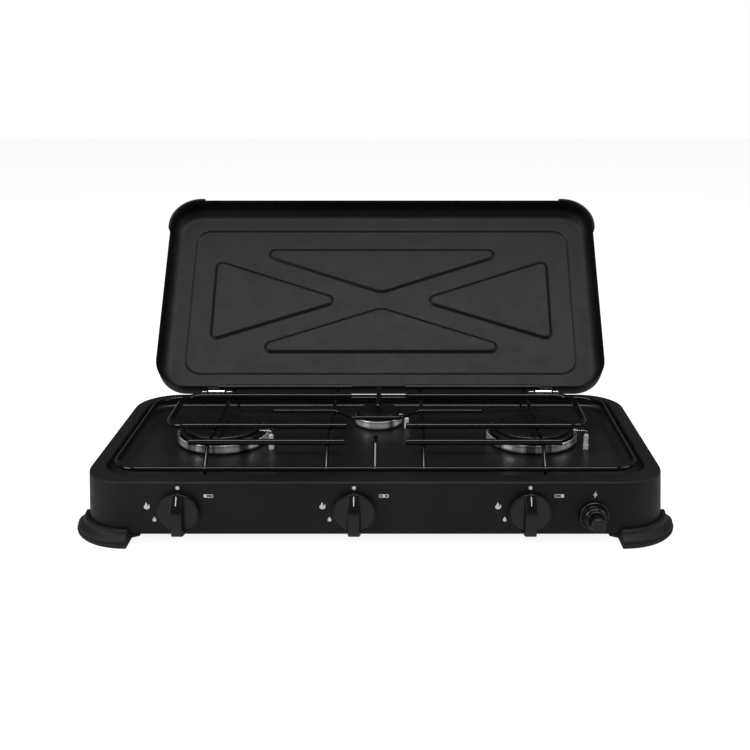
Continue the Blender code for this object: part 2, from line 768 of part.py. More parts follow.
def lid_leaf(name, x):
    """The moving leaf: a plate on the lid's rear wall with an ear each side of the knuckle."""
    half = KNUCKLE_WIDTH / 2 + GAP + EAR_THICK
    far = LID_BACK + GAP
    plate = block(f"hinge_lid_leaf_{name}", (x - half + 0.4 * MM, far, LID_RIM + 1 * MM),
                  (x + half - 0.4 * MM, far + LEAF_SHEET, LID_RIM + 8 * MM),
                  bright_steel(), 0.2 * MM)
    for number, side in enumerate((-1, 1)):
        inner = x + side * (KNUCKLE_WIDTH / 2 + GAP)
        outer = inner + side * EAR_THICK
        low = min(inner, outer)
        web = block(f"ear_web_{name}_{number}", (low + 0.15 * MM, far + 0.7 * MM, 0.9 * MM),
                    (low + EAR_THICK - 0.15 * MM, 1.3 * MM, 6 * MM), None)
        eye = rod(f"ear_eye_{name}_{number}", KNUCKLE_RADIUS, EAR_THICK, None,
                  (low, 0, 0), (1, 0, 0))
        bore = rod(f"ear_bore_{name}_{number}", PIN_RADIUS + RUNNING, EAR_THICK + 4 * MM, None,
                   (low - 2 * MM, 0, 0), (1, 0, 0), steps=12)
        for other, operation in ((web, "UNION"), (eye, "UNION"), (bore, "DIFFERENCE")):
            other.parent = bpy.data.objects["lid_pivot"]
            join(plate, other, operation)
    return plate


# ---------------------------------------------------------------- pan support

def support_wires():
    """Every wire of the pan support as name, points, radius."""
    bar_z = CROSS_Z + CROSS_WIRE + BAR_WIRE - WELD
    finger_z = CROSS_Z + CROSS_WIRE + FINGER_WIRE - WELD
    low_front = EDGE_FRONT
    low_rear = EDGE_REAR
    high_front = EDGE_FRONT + RAMP
    high_rear = EDGE_REAR - RAMP
    wires = []
    for number, x in enumerate((-CROSS_OUTER, -CROSS_INNER, CROSS_INNER, CROSS_OUTER)):
        path = (
            (x, low_front, EDGE_Z), (x, high_front, CROSS_Z),
            (x, high_rear, CROSS_Z), (x, low_rear, EDGE_Z),
        )
        wires.append((f"cross_{number}", rounded_path(path, 8 * MM, 3), CROSS_WIRE))
    for side in (-1, 1):
        for name, y in (("front", high_front), ("rear", high_rear)):
            path = ((side * MIDDLE_GAP, y, bar_z), (side * (CROSS_OUTER + BAR_OVERHANG), y, bar_z))
            wires.append((f"bar_{name}_{side}", [Vector(point) for point in path], BAR_WIRE))
        front = SIDE_BURNER_Y - LOOP_FRONT
        rear = SIDE_BURNER_Y + LOOP_REAR
        outer = side * (CROSS_OUTER + LOOP_OVERHANG)
        path = (
            (side * MIDDLE_GAP, front, bar_z), (outer, front, bar_z),
            (outer, rear, bar_z), (side * MIDDLE_GAP, rear, bar_z),
        )
        wires.append((f"loop_{side}", rounded_path(path, 24 * MM, 5), BAR_WIRE))
    tip = SIDE_BURNER_X - BIG_RADIUS - FINGER_REACH
    bow = 26 * MM
    path = (
        (-tip, SIDE_BURNER_Y, finger_z), (-CROSS_INNER + FINGER_REACH, SIDE_BURNER_Y, finger_z),
        (-CROSS_INNER / 2, SIDE_BURNER_Y - bow, finger_z),
        (CROSS_INNER / 2, SIDE_BURNER_Y - bow, finger_z),
        (CROSS_INNER - FINGER_REACH, SIDE_BURNER_Y, finger_z), (tip, SIDE_BURNER_Y, finger_z),
    )
    wires.append(("finger_middle", rounded_path(path, 12 * MM, 3), FINGER_WIRE))
    path = (
        (0, low_rear, EDGE_Z), (0, high_rear, finger_z),
        (0, REAR_BURNER_Y - REAR_FINGER_PAST, finger_z),
    )
    wires.append(("finger_rear", rounded_path(path, 8 * MM, 3), FINGER_WIRE))
    path = (
        (0, low_front, EDGE_Z), (0, high_front, finger_z),
        (0, high_front + FRONT_FINGER, finger_z),
    )
    wires.append(("finger_front", rounded_path(path, 8 * MM, 3), FINGER_WIRE))
    for side in (-1, 1):
        for name, y in (("front", EDGE_FRONT), ("rear", EDGE_REAR)):
            x = side * CROSS_OUTER
            path = ((x, y, EDGE_Z), (x, y, TRAY_FLOOR + GAP))
            wires.append((f"leg_{name}_{side}", [Vector(point) for point in path], CROSS_WIRE))
    return wires


def make_pan_support():
    edge = rounded_loop(EDGE_X, EDGE_FRONT, EDGE_REAR, OPENING_RADIUS - 4 * MM, EDGE_Z)
    support = wire("pan_support", [Vector(point) for point in edge], EDGE_WIRE,
                   grate_enamel(), cyclic=True)
    for name, path, radius in support_wires():
        join(support, wire(f"wire_{name}", path, radius, None), "UNION")


# ---------------------------------------------------------------- burners

def neck_radius(radius):
    return radius * 0.45


def make_burners():
    for name, (x, y, radius) in BURNERS.items():
        floor = TRAY_FLOOR + GAP
        neck = neck_radius(radius)
        low = floor - CUP_NECK_DROP
        top = floor + CUP_HEIGHT
        inside = radius - CUP_WALL
        profile = (
            (0, low), (neck, low), (neck, floor), (radius - 3 * MM, floor),
            (radius, floor + 2 * MM), (radius, top - 0.8 * MM), (radius - 0.8 * MM, top),
            (inside, top), (inside, floor + CUP_WALL), (neck - CUP_WALL, floor + CUP_WALL),
            (neck - CUP_WALL, low + CUP_WALL), (0, low + CUP_WALL),
        )
        lifted = [(across, height - low) for across, height in profile]
        cup = turned(f"burner_cup_{name}", lifted, burner_chrome(), (x, y, low))
        seat = floor + CUP_WALL + GAP
        small = name == "centre"
        port = radius - (SMALL_PORT_INSET if small else PORT_INSET)
        wall = SMALL_PORT_WALL if small else PORT_WALL
        port_top = top + PORT_RISE
        profile = (
            (neck, seat), (port, seat), (port, top + 0.5 * MM), (port - 1.5 * MM, port_top),
            (port - wall, port_top), (port - wall, seat + 2 * MM), (neck, seat + 2 * MM),
        )
        shape = [(across, height - seat) for across, height in profile]
        turned(f"burner_head_{name}", shape, burner_black(), (x, y, seat), ring=True)
        under = port_top + GAP
        edge = port - wall + CAP_OVERHANG
        skirt = port - wall - 2 * GAP
        profile = (
            (0, -2.5 * MM), (skirt, -2.5 * MM), (skirt, 0), (edge - 0.6 * MM, 0),
            (edge, 0.8 * MM), (edge, CAP_THICK * 0.45), (edge - 2 * MM, CAP_THICK * 0.8),
            (edge * 0.5, CAP_THICK), (3 * MM, CAP_THICK), (0, CAP_THICK),
        )
        turned(f"burner_cap_{name}", profile, burner_black(), (x, y, under))
        make_burner_tube(name, x, y, neck, cup)


def make_burner_tube(name, x, y, neck, cup):
    """The mixing tube from the valve's jet to the cup's neck."""
    number = list(BURNERS).index(name)
    start = Vector((KNOB_X[number], VALVE_BACK + JET_LENGTH + 4 * MM, TUBE_Z))
    middle = Vector((x, y, TUBE_Z))
    along = (middle - start).normalized()
    length = (middle - start).length - neck + 4 * MM
    bore = TUBE_RADIUS - TUBE_WALL
    profile = (
        (TUBE_RADIUS + 2 * MM, 0), (TUBE_RADIUS, 6 * MM), (TUBE_RADIUS, length),
        (bore, length), (bore, 6 * MM), (bore + 2 * MM, 0),
    )
    turned(f"burner_tube_{name}", profile, bright_steel(), start, along, SMALL_STEPS, ring=True)
    cut = rod(f"cup_port_{name}", TUBE_RADIUS + GAP, length + 3 * MM, None, start, along)
    join(cup, cut, "DIFFERENCE")


def electrode_place(name):
    x, y, radius = BURNERS[name]
    if name == "centre":
        return x + SMALL_ELECTRODE_SIDE, y - SMALL_ELECTRODE_FRONT
    return x + ELECTRODE_SIDE, y - ELECTRODE_FRONT


def make_electrodes():
    for name, (x, y, radius) in BURNERS.items():
        place_x, place_y = electrode_place(name)
        rise = SMALL_CERAMIC_RISE if name == "centre" else CERAMIC_RISE
        body = CERAMIC_RADIUS
        profile = (
            (0, -CERAMIC_DROP), (body - 1 * MM, -CERAMIC_DROP), (body - 1 * MM, -4 * MM),
            (body, -3.5 * MM), (body, rise - 4 * MM), (body - 0.8 * MM, rise - 1 * MM),
            (body - 1.6 * MM, rise), (0, rise),
        )
        turned(f"electrode_ceramic_{name}", profile, ceramic(),
               (place_x, place_y, TRAY_FLOOR), steps=SMALL_STEPS)
        towards = Vector((x - place_x, y - place_y, 0))
        reach = towards.length - radius + 3 * MM
        towards.normalize()
        start = Vector((place_x, place_y, TRAY_FLOOR + rise + GAP))
        spark_z = max(TRAY_FLOOR + CUP_HEIGHT + 4 * MM, start.z + 1.5 * MM)
        path = (
            start, start + Vector((0, 0, spark_z - start.z + 2.5 * MM)),
            Vector((place_x, place_y, spark_z)) + towards * reach,
        )
        wire(f"electrode_tip_{name}", rounded_path(path, 2 * MM, 2), TIP_RADIUS,
             bright_steel(), sides=6)


# ---------------------------------------------------------------- gas train

def make_valves():
    for number, name in enumerate(BURNERS):
        x = KNOB_X[number]
        half = VALVE_WIDTH / 2
        body = block(f"gas_valve_{name}", (x - half, VALVE_FRONT, KNOB_Z - VALVE_HEIGHT / 2),
                     (x + half, VALVE_BACK, KNOB_Z + VALVE_HEIGHT / 2 + 2 * MM), brass(), 1.5 * MM)
        jet = rod(f"jet_{name}", 4 * MM, JET_LENGTH + 2 * MM, None,
                  (x, VALVE_BACK - 2 * MM, TUBE_Z), (0, 1, 0))
        join(body, jet, "UNION")
        bore = rod(f"valve_bore_{name}", SPINDLE_RADIUS + GAP, SPINDLE_DEPTH + KNOB_TRAVEL + 8 * MM,
                   None, (x, VALVE_FRONT - 6 * MM, KNOB_Z), (0, 1, 0))
        join(body, bore, "DIFFERENCE")
        make_knob_set(name, x)


def make_knob_set(name, x):
    """Knob and spindle turn together in a collar, and all three are pushed in together."""
    knob_face = FRONT - KNOB_SKIRT
    rear = VALVE_FRONT + SPINDLE_DEPTH
    spindle_front = knob_face - 11 * MM
    rod(f"valve_spindle_{name}", SPINDLE_RADIUS, rear - spindle_front, bright_steel(),
        (x, rear, KNOB_Z), (0, -1, 0))
    collar = (
        (SPINDLE_RADIUS + RUNNING, 0), (COLLAR_RADIUS, 0),
        (COLLAR_RADIUS, COLLAR_THICK), (SPINDLE_RADIUS + RUNNING, COLLAR_THICK),
    )
    turned(f"spindle_collar_{name}", collar, bright_steel(),
           (x, COLLAR_FACE + COLLAR_THICK, KNOB_Z), (0, -1, 0), SMALL_STEPS, ring=True)
    make_knob(name, x, knob_face)


def make_knob(name, x, knob_face):
    """A round skirt with a tapered grip that is low at its pointer end."""
    edge = KNOB_RADIUS
    profile = (
        (0, 0), (edge - 1 * MM, 0), (edge, 1 * MM), (edge, 3 * MM),
        (edge - 1.2 * MM, 4.2 * MM), (edge - 2.4 * MM, 3.8 * MM), (0, 4 * MM),
    )
    knob = turned(f"knob_{name}", profile, knob_plastic(), (x, knob_face, KNOB_Z), (0, 0, 1))
    knob.rotation_mode = "XYZ"
    knob.rotation_euler = (math.pi / 2, 0, 0)
    top = KNOB_REACH - KNOB_SKIRT
    side = [(-edge + 0.6 * MM, 1.5 * MM), (-edge + 0.2 * MM, top - 4 * MM), (-edge + 2 * MM, top)]
    side.append((-1 * MM, top))
    for step in range(1, 7):
        share = step / 6
        side.append((-1 * MM + (edge - 1 * MM) * share, top - (top - 4.6 * MM) * (1 - (1 - share) ** 2)))
    side.append((edge - 0.4 * MM, 1.5 * MM))
    mesh = bmesh.new()
    rows = []
    for sign in (-1, 1):
        rows.append([
            (sign * (GRIP_BASE + (GRIP_TOP - GRIP_BASE) * max(out, 0) / top), up, out)
            for up, out in side
        ])
    loft(mesh, rows)
    grip = finish_mesh(f"grip_{name}", mesh, None, (x, knob_face, KNOB_Z))
    grip.rotation_euler = (math.pi / 2, 0, 0)
    join(knob, grip, "UNION")
    bore = rod(f"knob_bore_{name}", SPINDLE_RADIUS + GAP, 11 * MM + GAP + 3 * MM, None,
               (x, knob_face + 3 * MM, KNOB_Z), (0, -1, 0))
    join(knob, bore, "DIFFERENCE")


def make_gas_rail():
    """The rail that feeds the valves, and its pipe to the hose nozzle at the back."""
    end = INLET_X + RAIL_RADIUS + GAP
    rail_y = (VALVE_FRONT + VALVE_BACK) / 2
    rod("gas_rail", RAIL_RADIUS, KNOB_X[2] + 24 * MM - end, bright_steel(),
        (end, rail_y, RAIL_Z), (1, 0, 0))
    elbow = rail_y - RAIL_RADIUS
    wall = REAR
    pipe = RAIL_RADIUS - 0.2 * MM
    hose = INLET_RADIUS
    profile = [(0, 0), (pipe, 0), (pipe, wall - elbow - 8 * MM), (hose + 1.5 * MM, wall - elbow - 6 * MM)]
    start = wall - elbow + 6 * MM
    profile += [(hose + 1.5 * MM, start), (hose, start)]
    for number in range(3):
        low = start + NOZZLE_LENGTH * (0.15 + 0.25 * number)
        profile += [(hose, low), (hose + 1 * MM, low + 0.5 * MM), (hose, low + 5 * MM)]
    profile += [(hose, start + NOZZLE_LENGTH), (0, start + NOZZLE_LENGTH)]
    turned("gas_inlet", profile, brass(), (INLET_X, elbow, RAIL_Z), (0, 1, 0), SMALL_STEPS)


# ---------------------------------------------------------------- igniter

def make_igniter():
    place_at = (IGNITER_X, FRONT - GAP, IGNITER_Z)
    bore = BUTTON_RADIUS + 0.25 * MM
    profile = (
        (bore, 0), (BEZEL_RADIUS, 0), (BEZEL_RADIUS, BEZEL_FLANGE - 1.5 * MM),
        (BEZEL_RADIUS - 1.5 * MM, BEZEL_FLANGE), (BEZEL_STEP_RADIUS + 1 * MM, BEZEL_FLANGE + 0.5 * MM),
        (BEZEL_STEP_RADIUS, BEZEL_FLANGE + 2 * MM), (BEZEL_STEP_RADIUS - 0.6 * MM, BEZEL_REACH - 1.2 * MM),
        (BEZEL_STEP_RADIUS - 1.8 * MM, BEZEL_REACH), (bore, BEZEL_REACH),
    )
    turned("igniter_bezel", profile, button_plastic(), place_at, (0, -1, 0), ring=True)
    hollow = SPRING_RADIUS + SPRING_WIRE + 0.6 * MM
    skirt = BUTTON_REACH - BUTTON_TRAVEL + 0.5 * MM
    profile = (
        (0, 0), (BUTTON_RADIUS - 2 * MM, 0.2 * MM), (BUTTON_RADIUS - 0.4 * MM, 1 * MM),
        (BUTTON_RADIUS, 2 * MM), (BUTTON_RADIUS, skirt), (hollow, skirt),
        (hollow, 8 * MM), (0, 8 * MM),
    )
    face = FRONT - BUTTON_REACH
    turned("igniter_button", profile, button_plastic(), (IGNITER_X, face, IGNITER_Z),
           (0, 1, 0), 24)
    seat = face + skirt + BUTTON_TRAVEL + GAP
    body = IGNITER_BODY_RADIUS
    length = IGNITER_BODY_LENGTH
    profile = (
        (0, 0), (BUTTON_RADIUS - 1 * MM, 0), (body, 1 * MM), (body, length * 0.6),
        (body - 3 * MM, length * 0.6 + 1 * MM), (body - 3 * MM, length), (0, length),
    )
    turned("igniter_body", profile, knob_plastic(), (IGNITER_X, seat, IGNITER_Z), (0, 1, 0), 24)
    run = seat - GAP - SPRING_WIRE - (face + 8 * MM + GAP + SPRING_WIRE)
    coil = []
    for step in range(SPRING_TURNS * COIL_STEPS + 1):
        turn = math.tau * step / COIL_STEPS
        coil.append(Vector((
            IGNITER_X + SPRING_RADIUS * math.cos(turn),
            face + 8 * MM + GAP + SPRING_WIRE + run * step / (SPRING_TURNS * COIL_STEPS),
            IGNITER_Z + SPRING_RADIUS * math.sin(turn),
        )))
    wire("igniter_spring", coil, SPRING_WIRE, bright_steel(), sides=5)
    make_leads(seat + length + GAP)


def make_leads(start_y):
    """Insulated leads from the igniter's back to the foot of each electrode."""
    low = HOUSING_BOTTOM + LEAD_FLOOR
    for number, name in enumerate(BURNERS):
        x, y = electrode_place(name)
        side = (number - 1) * 4.5 * MM
        start = Vector((IGNITER_X + side, start_y, IGNITER_Z))
        first = Vector((start.x, start_y + 14 * MM + number * 7 * MM, low + 8 * MM))
        run = {"left": y - 26 * MM, "centre": y - 30 * MM, "right": y - 20 * MM}[name]
        path = (
            start, start + Vector((0, 7 * MM, 0)), first,
            Vector((start.x + (x - start.x) * 0.15, first.y + (run - first.y) * 0.3, low)),
            Vector((x, run, low)), Vector((x, y, low)),
            Vector((x, y, TRAY_FLOOR - CERAMIC_DROP - GAP)),
        )
        wire(f"ignition_lead_{name}", rounded_path(path, 9 * MM, 2), LEAD_RADIUS,
             lead_sleeve(), sides=6)


make_housing()
make_tray()
make_base_plate()
make_feet()
lid_pivot = bpy.data.objects.new("lid_pivot", None)
bpy.context.scene.collection.objects.link(lid_pivot)
lid_pivot.location = (0, AXIS_Y, AXIS_Z)
lid_pivot.rotation_euler = (-(math.pi / 2 + LID_LEAN), 0, 0)
make_lid(lid_pivot)
make_hinges(lid_pivot)
make_pan_support()
make_burners()
make_electrodes()
make_valves()
make_gas_rail()
make_igniter()

stove = bpy.data.objects.new("stove", None)
bpy.context.scene.collection.objects.link(stove)
for piece in list(bpy.context.scene.collection.objects):
    if piece.parent is None and piece is not stove:
        piece.parent = stove
stove.location = (0, STOVE_BACK, 0)
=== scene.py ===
"""A three-burner camping stove with its lid open, on a pale floor."""
import json
import math

import bmesh
import bpy
import numpy as np
from mathutils import Matrix, Quaternion, Vector


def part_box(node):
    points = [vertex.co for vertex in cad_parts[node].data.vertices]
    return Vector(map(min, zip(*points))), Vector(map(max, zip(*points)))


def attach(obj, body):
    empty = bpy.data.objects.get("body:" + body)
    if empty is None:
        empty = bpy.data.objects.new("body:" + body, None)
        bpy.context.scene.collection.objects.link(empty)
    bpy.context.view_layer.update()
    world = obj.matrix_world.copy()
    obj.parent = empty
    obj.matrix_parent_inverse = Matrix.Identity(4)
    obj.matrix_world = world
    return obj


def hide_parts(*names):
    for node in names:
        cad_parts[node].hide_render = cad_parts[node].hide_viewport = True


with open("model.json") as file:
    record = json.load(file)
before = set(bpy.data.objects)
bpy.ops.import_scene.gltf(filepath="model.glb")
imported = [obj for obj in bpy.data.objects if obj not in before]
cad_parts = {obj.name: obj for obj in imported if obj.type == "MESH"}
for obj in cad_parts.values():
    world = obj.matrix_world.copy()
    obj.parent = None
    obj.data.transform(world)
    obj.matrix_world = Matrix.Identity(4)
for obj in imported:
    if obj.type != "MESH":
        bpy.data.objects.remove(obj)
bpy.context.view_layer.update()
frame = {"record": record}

# ---------------------------------------------------------------- camera, floor and light
# The stove stands in a white studio on a plain pale floor. A wide soft lamp hangs over it,
# a weaker one at each side draws the edges of the black paint, and one in front fills in.
MM = 0.001
casing_low, casing_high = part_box("housing")
middle_y = (casing_low[1] + casing_high[1]) / 2

camera_data = bpy.data.cameras.new("camera")
camera_data.lens = 52.07
camera_data.sensor_width = 36
camera_data.shift_x = -0.03605
camera = bpy.data.objects.new("camera", camera_data)
camera.location = (30.53 * MM, middle_y - 1268.88 * MM, 521.9 * MM)
looking_down = 16.38
camera.rotation_euler = (math.radians(90 - looking_down), 0, 0)
bpy.context.scene.collection.objects.link(camera)
bpy.context.scene.camera = camera


def glow_by_ray(tree, strength, on_stove, to_camera):
    """Shine at one strength on the stove and at another straight into the camera."""
    seen = tree.nodes.new("ShaderNodeLightPath")
    glow = tree.nodes.new("ShaderNodeMapRange")
    glow.inputs["To Min"].default_value = on_stove
    glow.inputs["To Max"].default_value = to_camera
    tree.links.new(seen.outputs["Is Camera Ray"], glow.inputs["Value"])
    tree.links.new(glow.outputs["Result"], strength)


def studio_floor():
    mesh = bmesh.new()
    bmesh.ops.create_grid(mesh, x_segments=1, y_segments=1, size=6)
    data = bpy.data.meshes.new("floor")
    mesh.to_mesh(data)
    mesh.free()
    floor = bpy.data.objects.new("floor", data)
    under_feet = 0.2 * MM
    floor.location.z = -under_feet
    paint = bpy.data.materials.new("floor_paint")
    paint.use_nodes = True
    shader = paint.node_tree.nodes["Principled BSDF"]
    shader.inputs["Base Color"].default_value = (0.55, 0.55, 0.55, 1)
    shader.inputs["Roughness"].default_value = 0.9
    shader.inputs["Emission Color"].default_value = (1, 1, 1, 1)
    glow_by_ray(paint.node_tree, shader.inputs["Emission Strength"], 0.12, 0.90)
    data.materials.append(paint)
    bpy.context.scene.collection.objects.link(floor)


def soft_lamp(name, place, aim, width, height, power):
    data = bpy.data.lights.new(name, "AREA")
    data.shape = "RECTANGLE"
    data.size = width
    data.size_y = height
    data.energy = power
    lamp = bpy.data.objects.new(name, data)
    lamp.location = place
    way = Vector(aim) - Vector(place)
    lamp.rotation_euler = way.to_track_quat("-Z", "Y").to_euler()
    bpy.context.scene.collection.objects.link(lamp)
    return lamp


studio_floor()
soft_lamp("lamp_over", (0, -0.6, 1.9), (0, 0, 0), 2.2, 0.4, 23)
soft_lamp("lamp_left", (-1.6, -0.9, 0.8), (0, 0, 0.1), 0.7, 1.2, 9)
soft_lamp("lamp_right", (1.7, -0.5, 0.9), (0, 0, 0.1), 0.7, 1.4, 5)
fill = soft_lamp("lamp_front", (-0.3, -2.4, 1.5), (0, 0, 0.1), 1.8, 0.7, 7)
fill.visible_glossy = False
world = bpy.data.worlds.new("studio")
world.use_nodes = True
sky = world.node_tree.nodes["Background"]
sky.inputs["Color"].default_value = (1, 1, 1, 1)
glow_by_ray(world.node_tree, sky.inputs["Strength"], 0.11, 1.0)
bpy.context.scene.world = world
bpy.context.scene.view_settings.view_transform = "Standard"


# ---------------------------------------------------------------- housing
# The casing is one deep-drawn sheet steel shell with a broad flat rim, turned down into a
# lip round the hob. It is powder coated satin black, and its sides spread towards the foot.
HOUSING_HALF = 325 * MM
HOUSING_RADIUS = 54.5 * MM
HOUSING_FLARE = 4 * MM
HOUSING_LOW = casing_low[2]
HOUSING_TOP = casing_high[2]
FRONT_WALL = casing_low[1]
REAR_WALL = casing_high[1]
OPENING_HALF = HOUSING_HALF - 17.5 * MM
OPENING_FRONT = FRONT_WALL + 25 * MM
OPENING_REAR = REAR_WALL - 16 * MM
OPENING_RADIUS = 36 * MM
RIM_ROUNDING = 3.5 * MM
LIP_ROUNDING = 2.2 * MM
LIP_DROP = 6.5 * MM
HOUSING_SHEET = 1.2 * MM
FLANGE_WIDTH = 26 * MM
FOLD_ROUNDING = 1.6 * MM


def coating(name, colour, roughness, grain, bump, spread=0.05, metallic=0.0, coat=0.0,
            dust=0.0, tone=0.25, gloss=0.5):
    """A painted, moulded or plated finish: fine grain, slow change of tone, rubbed patches."""
    made = bpy.data.materials.new(name)
    made.use_nodes = True
    nodes = made.node_tree.nodes
    links = made.node_tree.links
    shader = nodes["Principled BSDF"]
    shader.inputs["Metallic"].default_value = metallic
    shader.inputs["Specular IOR Level"].default_value = gloss
    if coat:
        shader.inputs["Coat Weight"].default_value = coat
        shader.inputs["Coat Roughness"].default_value = 0.08
    where = nodes.new("ShaderNodeTexCoord")

    def cloud(scale, detail):
        noise = nodes.new("ShaderNodeTexNoise")
        noise.inputs["Scale"].default_value = scale
        noise.inputs["Detail"].default_value = detail
        links.new(where.outputs["Object"], noise.inputs["Vector"])
        return noise

    slow = cloud(14, 5)
    shade = nodes.new("ShaderNodeValToRGB")
    shade.color_ramp.elements[0].position = 0.3
    shade.color_ramp.elements[1].position = 0.72
    dark = [channel * (1 - tone) for channel in colour]
    light = [min(1, channel * (1 + tone) + dust) for channel in colour]
    shade.color_ramp.elements[0].color = (*dark, 1)
    shade.color_ramp.elements[1].color = (*light, 1)
    links.new(slow.outputs["Fac"], shade.inputs["Fac"])
    links.new(shade.outputs["Color"], shader.inputs["Base Color"])
    patch = cloud(45, 8)
    patch.inputs["Roughness"].default_value = 0.65
    rub = nodes.new("ShaderNodeMapRange")
    rub.inputs["From Min"].default_value = 0.3
    rub.inputs["From Max"].default_value = 0.7
    rub.inputs["To Min"].default_value = roughness - spread
    rub.inputs["To Max"].default_value = roughness + spread
    links.new(patch.outputs["Fac"], rub.inputs["Value"])
    links.new(rub.outputs["Result"], shader.inputs["Roughness"])
    fine = cloud(grain, 3)
    lift = nodes.new("ShaderNodeBump")
    lift.inputs["Strength"].default_value = 0.35
    lift.inputs["Distance"].default_value = bump
    links.new(fine.outputs["Fac"], lift.inputs["Height"])
    links.new(lift.outputs["Normal"], shader.inputs["Normal"])
    return made


def finish_piece(name, mesh, finish, body, *replaced, sharp=38, at=None):
    """Close the mesh, put it in its place and hand it to its body."""
    bmesh.ops.remove_doubles(mesh, verts=mesh.verts, dist=1e-6)
    bmesh.ops.recalc_face_normals(mesh, faces=mesh.faces)
    if at is not None:
        bmesh.ops.transform(mesh, matrix=at, verts=mesh.verts)
    data = bpy.data.meshes.new(name)
    mesh.to_mesh(data)
    mesh.free()
    data.shade_smooth()
    data.set_sharp_from_angle(angle=math.radians(sharp))
    data.materials.append(finish)
    piece = bpy.data.objects.new(name, data)
    bpy.context.scene.collection.objects.link(piece)
    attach(piece, body)
    if replaced:
        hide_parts(*replaced)
    return piece


def rounded_outline(mesh, half, front, rear, radius, height, segments=14):
    """A flat rectangle with its corners rounded by a vertex bevel."""
    known = set(mesh.faces)
    made = bmesh.ops.create_grid(mesh, x_segments=1, y_segments=1, size=0.5)
    corners = made["verts"]
    bmesh.ops.scale(mesh, verts=corners, vec=(half * 2, rear - front, 1))
    bmesh.ops.translate(mesh, verts=corners, vec=(0, (front + rear) / 2, height))
    bmesh.ops.bevel(
        mesh, geom=corners, offset=radius, offset_type="OFFSET", segments=segments,
        profile=0.5, affect="VERTICES", material=-1,
    )
    return [face for face in mesh.faces if face not in known][0]


def bridge_outlines(mesh, outlines, closed=False, keep_ends=False):
    """Join a row of outlines by walls, and drop the faces that they were drawn as.

    They are set well apart while they are bridged, so that rows at one height don't cross.
    """
    spread = 0.1
    heights = [(list(outline.verts), outline.verts[0].co.z) for outline in outlines]
    for number, (verts, _) in enumerate(heights):
        for vert in verts:
            vert.co.z = number * spread
    pairs = list(zip(outlines, outlines[1:]))
    if closed:
        pairs.append((outlines[-1], outlines[0]))
    for low, high in pairs:
        bmesh.ops.bridge_loops(mesh, edges=list(low.edges) + list(high.edges))
    for verts, height in heights:
        for vert in verts:
            vert.co.z = height
    spare = outlines[1:-1] if keep_ends else outlines
    bmesh.ops.delete(mesh, geom=spare, context="FACES_ONLY")


def quarter_round(radius, steps):
    """How far in and how far down each step of a rounded edge lies, wall first."""
    turns = [math.pi / 2 * step / steps for step in range(steps + 1)]
    return [(radius * (1 - math.cos(turn)), radius * (1 - math.sin(turn))) for turn in turns]


def housing_outline(mesh, inset, height):
    flare = HOUSING_FLARE * (HOUSING_TOP - height) / (HOUSING_TOP - HOUSING_LOW)
    return rounded_outline(
        mesh, HOUSING_HALF + flare - inset, FRONT_WALL + inset, REAR_WALL - inset,
        HOUSING_RADIUS - inset, height,
    )


def opening_outline(mesh, grow, height):
    return rounded_outline(
        mesh, OPENING_HALF + grow, OPENING_FRONT - grow, OPENING_REAR + grow,
        OPENING_RADIUS + grow, height,
    )


def make_housing():
    sheet = HOUSING_SHEET
    mesh = bmesh.new()
    rows = [housing_outline(mesh, FLANGE_WIDTH, HOUSING_LOW)]
    for inset, up in reversed(quarter_round(FOLD_ROUNDING, 4)):
        rows.append(housing_outline(mesh, inset, HOUSING_LOW + up))
    rows.append(housing_outline(mesh, 0, HOUSING_TOP - 30 * MM))
    for inset, down in quarter_round(RIM_ROUNDING, 8):
        rows.append(housing_outline(mesh, inset, HOUSING_TOP - down))
    for grow, down in reversed(quarter_round(LIP_ROUNDING, 6)):
        rows.append(opening_outline(mesh, grow, HOUSING_TOP - down))
    lip = HOUSING_TOP - LIP_DROP
    for grow, height in (
        (0, lip + 0.3 * MM), (sheet / 2, lip), (sheet, lip + 0.3 * MM),
        (sheet, HOUSING_TOP - 2 * MM), (LIP_ROUNDING, HOUSING_TOP - sheet),
    ):
        rows.append(opening_outline(mesh, grow, height))
    for inset, height in (
        (RIM_ROUNDING, HOUSING_TOP - sheet), (sheet, HOUSING_TOP - RIM_ROUNDING),
        (sheet, HOUSING_LOW + sheet), (FLANGE_WIDTH, HOUSING_LOW + sheet),
    ):
        rows.append(housing_outline(mesh, inset, height))
    bridge_outlines(mesh, rows, closed=True)
    finish_piece("casing_shell", mesh, powder_black, "casing", "housing", sharp=50)


def coat_node(node, finish):
    """Give its finish to a node that is shown as it comes."""
    bpy.data.objects[node].material_slots[0].material = finish


powder_black = coating(
    "powder_black", (0.0080, 0.0083, 0.0089), 0.50, 1500, 0.10 * MM, spread=0.05,
    dust=0.001, gloss=0.25,
)
make_housing()
base_black = coating("base_black", (0.013, 0.013, 0.014), 0.55, 900, 0.12 * MM, dust=0.004)
coat_node("base_plate", base_black)


# ---------------------------------------------------------------- printed signs
# White ink signs pad-printed on the front wall: a dot over each knob, a large and a small
# flame beside it, the row of three cells that tells which burner it feeds, and a spark.
INK_RISE = 0.06 * MM
KNOB_PLACES = {}
for knob_name in ("left", "centre", "right"):
    knob_low, knob_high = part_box(f"knob_{knob_name}")
    KNOB_PLACES[knob_name] = (
        (knob_low[0] + knob_high[0]) / 2, (knob_low[2] + knob_high[2]) / 2,
    )


def facing_front(x, y, z):
    """A place turned so that what stands upright points out of the front wall."""
    return Matrix.Translation((x, y, z)) @ Matrix.Rotation(math.pi / 2, 4, "X")


def ink_shape(mesh, outline, x, z):
    """A flat shape of ink on the front wall, from points in millimetres."""
    mesh.faces.new([
        mesh.verts.new((x + a * MM, FRONT_WALL - INK_RISE, z + b * MM)) for a, b in outline
    ])


